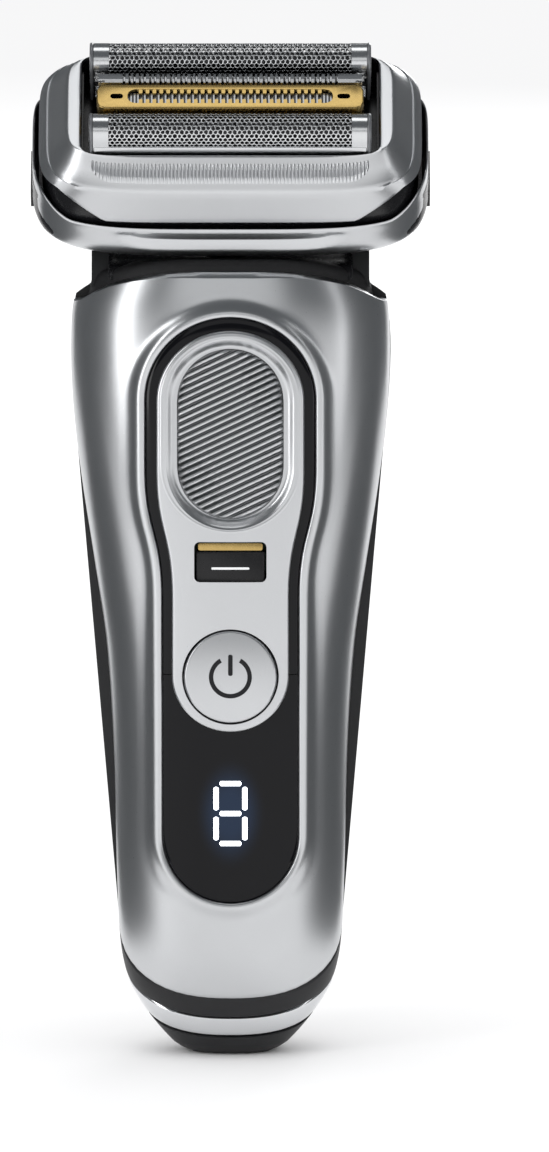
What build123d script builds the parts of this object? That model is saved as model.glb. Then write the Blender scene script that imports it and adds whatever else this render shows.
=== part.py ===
from build123d import *
import os
from math import cos, pi, radians, sin

os.makedirs("parts", exist_ok=True)

# An electric foil shaver standing on its foot, in millimetres. +Z runs up the handle, the front faces -Y, and
# the origin is the middle of the small flat face under the foot.

# Handle: height, half width, depth in front of the axis and depth behind it.
BODY = [
    (0, 7.5, 6.2, 6.2),
    (1.75, 9.6, 7.6, 7.6),
    (5, 12.5, 9.4, 9.4),
    (8.4, 14.9, 11.0, 11.0),
    (12, 16.8, 12.4, 12.4),
    (18, 18.1, 13.5, 13.9),
    (30, 18.7, 14.1, 14.9),
    (50, 19.2, 15.0, 16.2),
    (68, 20.4, 15.8, 17.2),
    (82, 22.4, 16.2, 17.6),
    (96, 24.5, 16.5, 17.8),
    (108, 25.8, 16.5, 17.6),
    (118, 26.1, 16.3, 17.2),
    (125, 25.5, 15.8, 16.6),
    (131, 23.1, 14.9, 15.8),
]
BODY_POWER = 2.4  # how square the handle's section is
FOOT_SECTIONS = [0, 3, 6, 9, 12, 15, 18]
GRIP_SECTIONS = [18 + 11.3 * i for i in range(11)]
WALL = 2.0
SPLIT = 1.4  # y of the joint between the front and rear shells
SEAL = 0.5

# The bands round the foot are cut by sloping planes: height at y=0 and slope.
FRONT_EDGE = (21.3, 0.94)
RING_TOP = (14.3, 0.72)
RING_FOOT = (6.9, 0.41)
ARCH = [(-27, 123.6), (-20, 128.2), (-11, 130.2), (0, 130.5), (11, 130.2), (20, 128.2), (27, 123.6)]
DECK_DROP = 0.5
DECK_THICK = 2.0

# Keyhole inlay: the upper round, the neck and the lower round.
KEY_TOP = 109.6
NECK_TOP = 98.5
NECK_MIDDLE = 88.0
NECK_LOW = 77.0
LENS_LOW = 37.5
RIM = (15.9, 13.0)  # radius above and below of the raised silver rim
RING = (13.75, 11.0)
PANEL = (11.7, 9.2)
RIM_RISE = 0.8
RING_RISE = 0.3
PANEL_RISE = 1.2
TRIM_SPLIT = 64.4
PANEL_BACK = 2.4

THUMB = (88.6, 120.1, 10.4)  # lower end, upper end and half width of the hollow
GRIP = (90.2, 118.2, 8.7)
THUMB_FLOOR = -16.1  # y of the hollow's flat floor
GRIP_BED = -15.5
GRIP_FACE = -16.2
RIB_FACE = -16.7
RIB_PITCH = 1.02
RIB_ANGLE = 25

BUTTON_Z = 64.3
BUTTON_R = 7.7
BUTTON_GAP = 0.2

WINDOW = (83.3, 11.8, 6.64)  # middle height, width and height of the lock window

DIGIT = (41.5, 10.8, 5.4, 1.08)  # middle height, height, width and stroke

# Head: its pivot, its forward tilt at rest, and its own frame (x, p to the rear, q up from the pivot).
PIVOT_Y = 2.0
PIVOT_Z = 141.5
TILT = 40
HEAD = Pos(0, PIVOT_Y, PIVOT_Z) * Rot(TILT, 0, 0)
PIN_R = 1.5
RUNNING = 0.04
ARM = (19.7, 22.7)
ARM_R = 4.2
LUG = (23.4, 25.3)
BASE = [(-4, 22, 8), (-2, 27, 11.5), (1.2, 31, 15), (4, 32.3, 16.3), (7.2, 32.3, 16.2)]
BASE_POWER = 4
BASE_WALL = 1.5
CASSETTE = [(7.9, 31.9, 15.7), (13, 30.9, 15.6), (16.8, 29.9, 15.5), (21.1, 28.0, 12.6)]
CASSETTE_POWER = 5
CASSETTE_WALL = 1.4
SHAVE_WINDOW = (23.7, 11.0)
FOIL_P = 7.9
FOIL_R = 2.7
FOIL_Q = 23.4  # axis of the foil's arch
FOIL_HALF = 22.5
FOIL_SKIN = 0.3
DRIVE_P = 4.0
DRIVE_PIN_R = 1.1
CUTTER_FORK = 2.95  # p of the fork's open end, beside the trimmer blade's stem
STROKE = 1.1
DETENT = 10
SECTOR_R = 8.5
NOTCH_R = 6.3


def block(x, y, z):
    """A box between two values on each axis."""
    sides = [high - low for low, high in (x, y, z)]
    middle = [(high + low) / 2 for low, high in (x, y, z)]
    return Pos(*middle) * Box(*sides)


def both_sides(solid):
    return solid + mirror(solid, Plane.YZ)


def rod_x(radius, x, y, z):
    return Pos((x[0] + x[1]) / 2, y, z) * Rot(0, 90, 0) * Cylinder(radius, x[1] - x[0])


def rod_y(radius, x, y, z):
    return Pos(x, (y[0] + y[1]) / 2, z) * Rot(90, 0, 0) * Cylinder(radius, y[1] - y[0])


def rod_z(radius, x, y, z):
    return Pos(x, y, (z[0] + z[1]) / 2) * Cylinder(radius, z[1] - z[0])


def oval(z, half_width, front, back, power, count=16):
    """A level superellipse face with its own depth in front and behind."""
    points = []
    for i in range(count):
        c = cos(2 * pi * i / count)
        s = sin(2 * pi * i / count)
        reach = (abs(c) ** power + abs(s) ** power) ** (-1 / power)
        points.append((half_width * c * reach, (back if s > 0 else front) * s * reach, z))
    return make_face(Spline(*points, periodic=True))


def slope(i, column):
    """The slope of one measure of the handle at a station, from its neighbours."""
    low = BODY[max(i - 1, 0)]
    high = BODY[min(i + 1, len(BODY) - 1)]
    return (high[column] - low[column]) / (high[0] - low[0])


def body_size(z):
    """Half width, front and back depth at a height, by cubics through the stations."""
    i = max(k for k in range(len(BODY) - 1) if BODY[k][0] <= z)
    step = BODY[i + 1][0] - BODY[i][0]
    t = (z - BODY[i][0]) / step
    sizes = []
    for column in (1, 2, 3):
        start = BODY[i][column] * (2 * t**3 - 3 * t**2 + 1) + BODY[i + 1][column] * (3 * t**2 - 2 * t**3)
        bend = slope(i, column) * (t**3 - 2 * t**2 + t) + slope(i + 1, column) * (t**3 - t**2)
        sizes.append(start + step * bend)
    return sizes


def body(inset):
    """The handle's outer form, moved inwards by the inset."""
    spans = []
    for heights in (FOOT_SECTIONS, GRIP_SECTIONS):
        sections = [oval(z, *[size - inset for size in body_size(z)], BODY_POWER) for z in heights]
        spans.append(loft(sections))
    return spans[0] + spans[1]


def head_form(stations, power, inset=0):
    return loft([oval(q, w - inset, d - inset, d - inset, power, 24) for q, w, d in stations])


def below_plane(plane, drop=0):
    """Everything under a plane that slopes from front to back."""
    height, slope = plane
    reach = 40
    profile = [(-reach, -80), (reach, -80), (reach, height + slope * reach - drop)]
    profile.append((-reach, height - slope * reach - drop))
    return Pos(-reach, 0, 0) * extrude(Plane.YZ * make_face(Polyline(*profile, close=True)), amount=2 * reach)


def below_arch(drop=0):
    """Everything under the arched top edge of the shells."""
    top = Spline(*[(x, z - drop) for x, z in ARCH])
    low = Polyline((27, 123.6 - drop), (27, -5), (-27, -5), (-27, 123.6 - drop))
    return Pos(0, 30, 0) * extrude(Plane.XZ * make_face([*top.edges(), *low.edges()]), amount=60)


def keyhole(radii):
    """The inlay's outline: a round top, a neck that narrows, and a round foot."""
    top, low = radii
    right = [
        Line((top, KEY_TOP), (top, NECK_TOP)),
        Bezier((top, NECK_TOP), (top, NECK_MIDDLE), (low, NECK_MIDDLE), (low, NECK_LOW)),
    ]
    foot = BUTTON_Z if low == PANEL[1] else LENS_LOW
    right.append(Line((low, NECK_LOW), (low, foot)))
    left = [mirror(edge, Plane.YZ) for edge in right]
    crown = ThreePointArc((-top, KEY_TOP), (0, KEY_TOP + top), (top, KEY_TOP))
    toe = ThreePointArc((-low, foot), (0, foot - low), (low, foot))
    edges = [*right, *left, crown, toe]
    return make_face([edge for curve in edges for edge in curve.edges()])


def through_front(face):
    """A prism through the front half of the handle."""
    return extrude(Plane.XZ * face, amount=30)


def stadium(low, high, half):
    return Pos(0, (low + high) / 2) * Rot(0, 0, 90) * SlotOverall(high - low, 2 * half)


OUTER = body(0)
INNER = body(WALL)
RAISED_RIM = body(-RIM_RISE)
RAISED_RING = body(-RING_RISE)
RAISED_PANEL = body(-PANEL_RISE)
KEY_RIM = through_front(keyhole(RIM))
KEY_RING = through_front(keyhole(RING))
KEY_PANEL = through_front(keyhole(PANEL))
UNDER_ARCH = below_arch()
HALF = 40
FRONT_SIDE = block((-HALF, HALF), (-HALF, SPLIT), (0, 140)) - below_plane(FRONT_EDGE)
SEAL_SIDE = block((-HALF, HALF), (SPLIT, SPLIT + SEAL), (FRONT_EDGE[0] + 3, 140))


def head_arm():
    """The right arm: a boss round the pivot and a foot that widens into the handle."""
    boss = rod_x(ARM_R, ARM, PIVOT_Y, PIVOT_Z)
    front = PIVOT_Y - ARM_R
    back = PIVOT_Y + ARM_R
    side = [(front, PIVOT_Z), (front, 133), (front - 3, 125), (front - 3, 117)]
    side += [(back + 3, 117), (back + 3, 126), (back, 133), (back, PIVOT_Z)]
    foot = extrude(Plane.YZ * make_face(Polyline(*side, close=True)), amount=ARM[1] - ARM[0])
    arm = boss + Pos(ARM[0], 0, 0) * foot
    return arm - rod_x(PIN_R, (0, 40), PIVOT_Y, PIVOT_Z)


def handle_shells():
    shell = OUTER - INNER
    rim = (KEY_RIM & RAISED_RIM) - INNER
    front = ((shell + rim) & FRONT_SIDE & UNDER_ARCH) - KEY_RING
    seal = shell & SEAL_SIDE & UNDER_ARCH
    cover = (shell & UNDER_ARCH) - FRONT_SIDE - SEAL_SIDE - below_plane(RING_TOP)
    ring = (shell & below_plane(RING_TOP)) - below_plane(RING_FOOT)
    cap = (OUTER - (INNER - block((-HALF, HALF), (-HALF, HALF), (-5, WALL)))) & below_plane(RING_FOOT)
    return {
        "front_shell": front,
        "parting_seal": seal,
        "rear_shell": cover - trimmer_well(),
        "base_ring": ring,
        "base_cap": cap - extrude(stadium_foot(6.4, 4.1), amount=12),
    }


def stadium_foot(half_length, half):
    return SlotOverall(2 * half_length, 2 * half)


def socket():
    """The charging socket: a lining with two round pins standing in it."""
    lining = extrude(stadium_foot(6.4, 4.1), amount=9.5) - extrude(stadium_foot(5.2, 2.9), amount=8)
    pins = both_sides(rod_z(0.8, 3.2, 0, (1.6, 8)))
    return {"charging_socket": lining, "socket_pins": pins}


def inlay():
    """Upper trim, lens, panel and the pieces let into the panel."""
    ring = ((KEY_RING & RAISED_RING) - INNER) - KEY_PANEL
    upper = block((-HALF, HALF), (-HALF, 0), (TRIM_SPLIT, 140))
    hollow = through_front(stadium(*THUMB))
    grip_form = through_front(stadium(*GRIP))
    panel = (KEY_PANEL & RAISED_PANEL) - body(PANEL_BACK)
    panel -= hollow & block((-HALF, HALF), (-HALF, THUMB_FLOOR), (0, 140))
    panel -= grip_form & block((-HALF, HALF), (-HALF, GRIP_BED), (0, 140))
    grip = grip_form & block((-HALF, HALF), (GRIP_FACE, GRIP_BED), (0, 140))
    grip += grip_form & rib_bars()
    middle, width, height = WINDOW
    opening = Pos(0, middle) * RectangleRounded(width, height, 0.9)
    panel -= through_front(opening)
    pocket = block((-6.5, 6.5), (-16.35, -12), (middle - 5.9, middle + 4.3))
    panel -= pocket
    panel -= rod_y(BUTTON_R + BUTTON_GAP, 0, (-30, 0), BUTTON_Z)
    gold = block((-6.3, 6.3), (-14.4, -14.0), (middle + 1.0, middle + 4.1))
    return {
        "upper_trim": ring & upper,
        "display_lens": ring - upper,
        "inlay_panel": panel,
        "thumb_grip": grip,
        "lock_indicator": gold,
    }


def rib_bars():
    """Sloping bars across the thumb grip, rising to the right."""
    low, high, half = GRIP
    middle = (low + high) / 2
    count = 30
    bars = [
        Pos(0, (GRIP_FACE + RIB_FACE) / 2, middle) * Rot(0, -RIB_ANGLE, 0)
        * Pos(0, 0, (i - count / 2 + 0.5) * RIB_PITCH)
        * Box(4 * half, GRIP_FACE - RIB_FACE, 0.5 * RIB_PITCH)
        for i in range(count)
    ]
    return Part() + bars


def power_button():
    front = rod_y(BUTTON_R, 0, (-30, -14.1), BUTTON_Z) & body(-PANEL_RISE + 0.15)
    return front + rod_y(1.5, 0, (-14.2, -10.7), BUTTON_Z)


def lock_parts():
    """The slider seen in the window, and the link that carries the bolt up through the deck."""
    middle = WINDOW[0]
    slider = block((-5.6, 5.6), (-16.2, -14.6), (middle - 5.1, middle + 1.6))
    slider -= block((-3.1, 3.1), (-16.3, -16.0), (middle - 1.4, middle - 0.95))
    slider += block((-2, 2), (-14.7, -13.4), (middle - 4.7, middle - 1.5))
    link = block((-3, 3), (-13.4, -12.4), (middle - 4.7, 125.5))
    link += block((-3, 3), (-13.4, PIVOT_Y + 1.5), (124.3, 125.5))
    link += rod_z(1.2, 0, PIVOT_Y, (125, 130.8))
    link += block((-1, 1), (PIVOT_Y - 0.35, PIVOT_Y + 0.35), (130.7, 132.4))
    return {"lock_slider": slider, "lock_link": link}


def deck_parts():
    """The deck between the shells, its screws, the two arms and their pins."""
    right = head_arm() - ((OUTER - INNER) & UNDER_ARCH)
    left = mirror(right, Plane.YZ)
    deck = (INNER & below_arch(DECK_DROP)) - below_arch(DECK_DROP + DECK_THICK)
    deck -= right + left + rod_z(1.4, 0, PIVOT_Y, (120, 135))
    screws = both_sides(rod_z(1.6, 11, PIVOT_Y, (129.1, 129.5)) + rod_z(0.9, 11, PIVOT_Y, (116, 129.2)))
    deck -= both_sides(rod_z(1.6, 11, PIVOT_Y, (129.1, 135)) + rod_z(0.9, 11, PIVOT_Y, (120, 129.2)))
    pins = both_sides(rod_x(PIN_R, (ARM[0], LUG[1]), PIVOT_Y, PIVOT_Z))
    pins += both_sides(rod_x(2.4, (ARM[0] - 0.45, ARM[0]), PIVOT_Y, PIVOT_Z))
    return {
        "top_deck": deck,
        "right_arm": right,
        "left_arm": left,
        "deck_screws": screws,
        "pivot_pins": pins,
    }


def electronics():
    """What is held inside the handle."""
    cell = rod_z(7.1, 0, 4.2, (25, 75)) + rod_z(2.5, 0, 4.2, (75, 75.8))
    contacts = block((-4, 4), (1.5, 7), (24.2, 25)) + block((-4, 4), (1.5, 7), (75.8, 76.6))
    chassis = block((-12, 12), (-4.6, -3.4), (22, 118))
    chassis += both_sides(block((9, 12), (-4.6, 2), (112, 118)))
    chassis += both_sides(rod_z(2.2, 11, PIVOT_Y, (112, 127.4)) + block((10, ARM[0]), (0, 4), (117.5, 119.5)))
    chassis -= both_sides(rod_z(0.9, 11, PIVOT_Y, (111, 128)))
    board = block((-11.5, 11.5), (-7.4, -6.2), (26, 116))
    board += both_sides(block((8, 10), (-6.3, -4.6), (30, 32)) + block((8, 10), (-6.3, -4.6), (106, 108)))
    module = block((-7, 7), (-10.4, -7.4), (32, 54))
    middle, height, width, stroke = DIGIT
    outline = Rectangle(width, height) - Rectangle(width - 2 * stroke, height - 2 * stroke)
    digit = Pos(0, middle) * (outline + Rectangle(width, stroke))
    segments = Pos(0, -10.4, 0) * extrude(Plane.XZ * digit, amount=0.3)
    switch = block((-3, 3), (-9.4, -7.4), (BUTTON_Z - 3, BUTTON_Z + 3))
    switch += rod_y(1.6, 0, (-10.0, -9.3), BUTTON_Z)
    return {
        "battery_cell": cell,
        "battery_contacts": contacts,
        "inner_chassis": chassis,
        "main_board": board,
        "display_module": module,
        "display_segments": segments,
        "tact_switch": switch,
    }


def trimmer_well():
    """The room that the pop-up trimmer takes from the rear shell."""
    return block((-12.6, 12.6), (16.45, 30), (92.5, 140))


def comb_teeth(half, pitch, y, z, width):
    count = int(2 * half / pitch)
    start = -pitch * (count - 1) / 2
    teeth = [block((start + i * pitch - width / 2, start + i * pitch + width / 2), y, z) for i in range(count)]
    return Part() + teeth


def trimmer():
    """The long-hair trimmer: a housing on the back, and a slide that lifts the comb and blade."""
    housing = block((-14.6, 14.6), (13.5, 19.7), (89, 128)) - OUTER - trimmer_well()
    housing += both_sides(block((11.5, 12.7), (18.5, 19.7), (92.5, 128)))
    housing += block((-12.7, 12.7), (16.5, 19.7), (89, 92.5)) - OUTER
    slide = block((-12.5, 12.5), (16.55, 18.4), (93, 123.5)) + block((-11.4, 11.4), (18.3, 19.4), (93, 123.5))
    for i in range(5):
        slide += block((-6, 6), (19.3, 20.9), (98 + 2 * i, 99 + 2 * i))
    slide += block((-6.5, 6.5), (19.3, 20.2), (97, 108))
    slide -= block((-11, 11), (17.35, 18.45), (117, 124))
    comb = block((-11, 11), (16.55, 17.3), (123.5, 126)) + comb_teeth(11, 1.0, (16.55, 17.3), (125.9, 130), 0.55)
    blade = block((-9.6, 9.6), (17.4, 18.2), (118, 126)) + comb_teeth(9.6, 1.0, (17.4, 18.2), (125.9, 129.4), 0.5)
    return {
        "trimmer_housing": housing,
        "trimmer_slide": slide,
        "trimmer_comb": comb,
        "trimmer_blade": blade,
    }


def arm_slots():
    """Room for the arms through the head's underside, over the whole swivel."""
    room = ARM_R + 0.4
    turn = radians(TILT)
    reach = 25
    edge = (-room * cos(turn), room * sin(turn))
    far = (edge[0] - reach * sin(turn), edge[1] - reach * cos(turn))
    profile = [(0, 0), (room, 0), (room, -reach), (far[0], -reach), far, edge]
    wedge = extrude(Plane.YZ * make_face(Polyline(*profile, close=True)), amount=ARM[1] - ARM[0] + 1.2)
    slot = Pos(ARM[0] - 0.6, 0, 0) * wedge + rod_x(room, (ARM[0] - 0.6, ARM[1] + 0.6), 0, 0)
    return both_sides(slot)


def head_base():
    """The bowl with its chassis, bushes, deck, motor and lock sector, in the head's own frame."""
    cavity = head_form(BASE, BASE_POWER, BASE_WALL) & block((-HALF, HALF), (-HALF, HALF), (-2.5, 10))
    slots = arm_slots()
    buttons = both_sides(block((27, 40), (-4.6, 4.6), (1.7, 5.5)))
    bowl = head_form(BASE, BASE_POWER) - cavity - slots - buttons
    lugs = both_sides(block(LUG, (-8, 8), (-2.5, 3.5)))
    rails = block((-LUG[1], LUG[1]), (9.2, 11.5), (1, 3.5)) + block((-LUG[1], LUG[1]), (-11.5, -9.2), (1, 3.5))
    joins = both_sides(block(LUG, (-11.5, 11.5), (1, 3.5)))
    chassis = (lugs + rails + joins) & head_form(BASE, BASE_POWER, BASE_WALL + 0.05)
    chassis &= block((-HALF, HALF), (-HALF, HALF), (-2.45, 10))
    chassis -= both_sides(rod_x(PIN_R + 0.7, (20, 30), 0, 0))
    bush = rod_x(PIN_R + 0.7, LUG, 0, 0) - rod_x(PIN_R + RUNNING, (20, 30), 0, 0)
    deck = head_form([(6.0, 30.6, 14.4), (7.4, 30.6, 14.4)], BASE_POWER)
    for p in (-DRIVE_P, DRIVE_P):
        deck -= Pos(0, p, 6.7) * extrude(SlotOverall(5.2, 2.8), amount=2, both=True)
    motor = block((-17.5, 17.5), (-8.4, 8.4), (-2.4, -0.8)) + both_sides(block((14, 17.5), (-8.4, 8.4), (-1, 2.2)))
    motor += both_sides(rod_z(4.5, 7, 0, (-1, 2.2))) & block((-20, 20), (-8.4, 8.4), (-3, 3))
    motor &= head_form(BASE, BASE_POWER, BASE_WALL + 0.05)
    sector = rod_x(SECTOR_R, (-2, 2), 0, 0) & block((-3, 3), (-9, 2.5), (-9, -4))
    for step in range(TILT // DETENT + 1):
        notch = block((-3, 3), (-0.45, 0.45), (-SECTOR_R - 1, -NOTCH_R))
        sector -= Rot(-step * DETENT, 0, 0) * notch
    return {
        "head_base": bowl,
        "head_chassis": chassis,
        "pivot_bushes": both_sides(bush),
        "drive_deck": deck,
        "motor_stator": motor,
        "lock_sector": sector,
    }


def drive_and_release():
    """The armatures that swing against each other, and the cassette's release buttons."""
    front = block((-13, 13), (-8.2, -0.5), (2.6, 4.4)) + rod_z(DRIVE_PIN_R, 0, -DRIVE_P, (4, 13))
    rear = mirror(front, Plane.XZ)
    button = block((29.6, 32.6), (-4.5, 4.5), (1.8, 5.4)) + block((28.6, 29.7), (-5.6, 5.6), (1.8, 5.6))
    return {
        "front_armature": front,
        "rear_armature": rear,
        "right_release": button,
        "left_release": mirror(button, Plane.YZ),
    }


def cassette():
    """The frame that pulls off the head, and the black carrier inside it."""
    half_width, half_depth = SHAVE_WINDOW
    cavity = head_form(CASSETTE, CASSETTE_POWER, CASSETTE_WALL) & block((-HALF, HALF), (-HALF, HALF), (7, 19.6))
    window = extrude(RectangleRounded(2 * half_width, 2 * half_depth, 0.8), amount=30)
    frame = head_form(CASSETTE, CASSETTE_POWER) - cavity - window
    plate = head_form([(14.0, 28.6, 13.6), (15.0, 28.4, 13.5)], CASSETTE_POWER)
    carrier = plate + both_sides(block((23.9, 25.6), (-9, 9), (14.9, 19.4)))
    for p, half in ((-FOIL_P, 1.0), (FOIL_P, 1.0), (-1.95, 0.9), (2.2, 0.7)):
        carrier -= block((-3, 3), (p - half - 0.2, p + half + 0.2), (13, 16))
    return {"cassette_frame": frame, "cassette_carrier": carrier}


def arch(radius, axis, foot, p, half_length):
    """A bar along x with a round top."""
    bar = rod_x(radius, (-half_length, half_length), p, axis)
    bar &= block((-HALF, HALF), (-HALF, HALF), (axis, HALF))
    return bar + block((-half_length, half_length), (p - radius, p + radius), (foot, axis))


def foil(p):
    """A foil arch, the frame that holds it, and the cutter under it."""
    outer = arch(FOIL_R, FOIL_Q, 19.6, p, FOIL_HALF)
    skin = outer - arch(FOIL_R - FOIL_SKIN, FOIL_Q, 19, p, FOIL_HALF + 1)
    frame = block((-23.4, 23.4), (p - FOIL_R, p + FOIL_R), (16.8, 19.6))
    frame -= block((-22.2, 22.2), (p - FOIL_R + 0.5, p + FOIL_R - 0.5), (16, 20))
    ends = arch(FOIL_R, FOIL_Q, 19.5, p, 23.4) - block((-FOIL_HALF, FOIL_HALF), (-HALF, HALF), (0, HALF))
    radius = FOIL_R - FOIL_SKIN - 0.1
    reach = FOIL_HALF - STROKE - 0.4
    cutter = block((-reach, reach), (p - 1.2, p + 1.2), (20.4, FOIL_Q + 0.6))
    pitch = 1.5
    count = int(2 * reach / pitch)
    disc = rod_x(radius, (-0.25, 0.25), p, FOIL_Q) & block((-1, 1), (-HALF, HALF), (FOIL_Q - 1.2, HALF))
    cutter += [Pos((i - (count - 1) / 2) * pitch, 0, 0) * disc for i in range(count)]
    side = -1 if p < 0 else 1
    foot = sorted((p + side * 0.9, side * CUTTER_FORK))
    cutter += block((-1.6, 1.6), (p - 0.9, p + 0.9), (12.1, 20.6))
    cutter += block((-2.2, 2.2), tuple(foot), (12.1, 13.3))
    cutter -= rod_z(DRIVE_PIN_R + 0.1, 0, side * DRIVE_P, (8, 16))
    return skin, frame + ends, cutter


def trimmers_in_head():
    """The gold skin guard and the slim lift trimmer between the foils, each over a blade."""
    guard = block((-22, 22), (-4.6, 0.7), (16.8, 25.2)) - block((-20.8, 20.8), (-3.9, 0.0), (16, 24.7))
    slots = comb_teeth(16.4, 1.3, (-4.7, -2.5), (22.6, 25.5), 0.55)
    slots += comb_teeth(16.4, 1.3, (-1.4, 0.8), (22.6, 25.5), 0.55)
    guard -= slots
    blade = block((-16.6, 16.6), (-3.3, -0.6), (23.6, 24.5)) + block((-1.6, 1.6), (-2.75, -1.15), (9.1, 23.7))
    blade += block((-2.2, 2.2), (-5.6, -1.15), (9.1, 10.3))
    blade -= rod_z(DRIVE_PIN_R + 0.1, 0, -DRIVE_P, (8, 11))
    lift = block((-22, 22), (1.1, 3.3), (16.8, 25.6)) - block((-20.8, 20.8), (1.5, 2.9), (16, 25.1))
    lift -= comb_teeth(17.6, 1.1, (0.9, 3.5), (23.6, 26), 0.5)
    lift_blade = block((-19, 19), (1.75, 2.65), (22, 24.8)) + block((-1.6, 1.6), (1.75, 2.65), (9.1, 22.1))
    lift_blade += block((-2.2, 2.2), (1.75, 5.6), (9.1, 10.3))
    lift_blade -= rod_z(DRIVE_PIN_R + 0.1, 0, DRIVE_P, (8, 11))
    return {"skin_guard": guard, "skin_blade": blade, "lift_guard": lift, "lift_blade": lift_blade}


def in_head_frame(parts):
    return {name: HEAD * solid for name, solid in parts.items()}


def shaving_parts():
    parts = {}
    for side, p in (("front", -FOIL_P), ("rear", FOIL_P)):
        skin, frame, cutter = foil(p)
        parts[side + "_foil"] = skin
        parts[side + "_foil_frame"] = frame
        parts[side + "_cutter"] = cutter
    return parts


nodes = {}
nodes.update(handle_shells())
nodes.update(socket())
nodes.update(inlay())
nodes["power_button"] = power_button()
nodes.update(lock_parts())
nodes.update(deck_parts())
nodes.update(electronics())
nodes.update(trimmer())
nodes.update(in_head_frame(head_base()))
nodes.update(in_head_frame(drive_and_release()))
nodes.update(in_head_frame(cassette()))
nodes.update(in_head_frame(shaving_parts()))
nodes.update(in_head_frame(trimmers_in_head()))

for name, solid in nodes.items():
    export_step(Compound(solid.solids()), f"parts/{name}.step")
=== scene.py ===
from math import atan2, cos, hypot, pi, radians, sin

import bmesh
import bpy
from mathutils import Matrix, Vector


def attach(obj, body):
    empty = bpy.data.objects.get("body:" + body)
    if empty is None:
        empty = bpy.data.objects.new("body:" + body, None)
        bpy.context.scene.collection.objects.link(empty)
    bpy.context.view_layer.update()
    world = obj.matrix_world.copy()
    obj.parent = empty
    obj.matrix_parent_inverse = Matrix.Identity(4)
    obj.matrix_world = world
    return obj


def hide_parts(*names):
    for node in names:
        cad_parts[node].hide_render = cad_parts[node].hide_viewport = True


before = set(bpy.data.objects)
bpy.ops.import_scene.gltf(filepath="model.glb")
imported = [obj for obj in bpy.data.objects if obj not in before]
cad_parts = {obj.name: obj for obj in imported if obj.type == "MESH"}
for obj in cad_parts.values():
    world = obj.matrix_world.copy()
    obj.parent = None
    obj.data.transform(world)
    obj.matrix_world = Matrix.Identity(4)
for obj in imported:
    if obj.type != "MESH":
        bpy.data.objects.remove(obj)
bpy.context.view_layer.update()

collection = bpy.context.scene.collection

# Studio: a pale floor that runs far behind the shaver, soft light from large panels, and a long lens held
# a little above the middle of the handle.
MM = 0.001
AIM = Vector((7.2, 0, 78.6)) * MM
CAMERA_RISE = radians(8)
CAMERA_REACH = 2.8
FRAME_HEIGHT = 0.189

camera_data = bpy.data.cameras.new("studio_camera")
camera_data.lens = camera_data.sensor_width * CAMERA_REACH / FRAME_HEIGHT
camera = bpy.data.objects.new("studio_camera", camera_data)
camera.location = AIM + Vector((0, -cos(CAMERA_RISE), sin(CAMERA_RISE))) * CAMERA_REACH
camera.rotation_euler = (pi / 2 - CAMERA_RISE, 0, 0)
collection.objects.link(camera)
bpy.context.scene.camera = camera


def softbox(name, middle, toward, size, power):
    """A rectangular light panel that faces a point."""
    data = bpy.data.lights.new(name, "AREA")
    data.shape = "RECTANGLE"
    data.size, data.size_y = size
    data.energy = power
    lamp = bpy.data.objects.new(name, data)
    lamp.location = middle
    lamp.rotation_euler = (Vector(toward) - Vector(middle)).to_track_quat("-Z", "Y").to_euler()
    lamp.visible_camera = False
    collection.objects.link(lamp)


softbox("key_panel", (-0.62, -0.52, 0.20), (0, 0, 0.09), (0.17, 0.9), 1.8)
softbox("fill_panel", (0.66, -0.46, 0.20), (0, 0, 0.09), (0.09, 0.9), 0.35)
softbox("crown_panel", (-0.05, -1.3, 0.46), (0, 0, 0.12), (0.9, 0.42), 0.9)
softbox("top_panel", (0, -0.05, 0.95), (0, 0, 0.1), (0.5, 0.34), 0.85)
softbox("back_panel", (0.3, 1.1, 0.6), (0, 0, 0.1), (0.4, 0.9), 3.0)


def dark_card(name, middle, size, turn):
    """A black card that only reflections see. It gives the bright metal its dark edges."""
    bpy.ops.mesh.primitive_plane_add(size=1, location=middle, rotation=(0, turn, 0))
    card = bpy.context.object
    card.name = name
    card.scale = (*size, 1)
    card.visible_camera = False
    card.visible_diffuse = False
    card.visible_shadow = False
    paint = bpy.data.materials.new(name)
    paint.use_nodes = True
    paint.node_tree.nodes["Principled BSDF"].inputs["Base Color"].default_value = (0.10, 0.105, 0.11, 1)
    card.data.materials.append(paint)


dark_card("left_card", (-0.42, 0.22, 0.30), (0.7, 0.92), pi / 2)
dark_card("right_card", (0.42, 0.22, 0.30), (0.7, 0.92), pi / 2)
dark_card("left_floor_card", (-0.25, 0.10, 0.0005), (0.33, 0.36), 0)
dark_card("right_floor_card", (0.25, 0.10, 0.0005), (0.33, 0.36), 0)

# The air is white for the floor and the view, and dim where only polish would show it.
world = bpy.data.worlds.new("studio_air")
world.use_nodes = True
air = world.node_tree
open_air = air.nodes["Background"]
open_air.inputs["Color"].default_value = (1, 1, 1, 1)
open_air.inputs["Strength"].default_value = 1.0
dim_air = air.nodes.new("ShaderNodeBackground")
dim_air.inputs["Color"].default_value = (0.5, 0.53, 0.56, 1)
dim_air.inputs["Strength"].default_value = 0.25
rays = air.nodes.new("ShaderNodeLightPath")
blend = air.nodes.new("ShaderNodeMixShader")
air.links.new(rays.outputs["Is Glossy Ray"], blend.inputs[0])
air.links.new(open_air.outputs[0], blend.inputs[1])
air.links.new(dim_air.outputs[0], blend.inputs[2])
air.links.new(blend.outputs[0], air.nodes["World Output"].inputs["Surface"])
bpy.context.scene.world = world
bpy.context.scene.view_settings.view_transform = "Standard"


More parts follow.
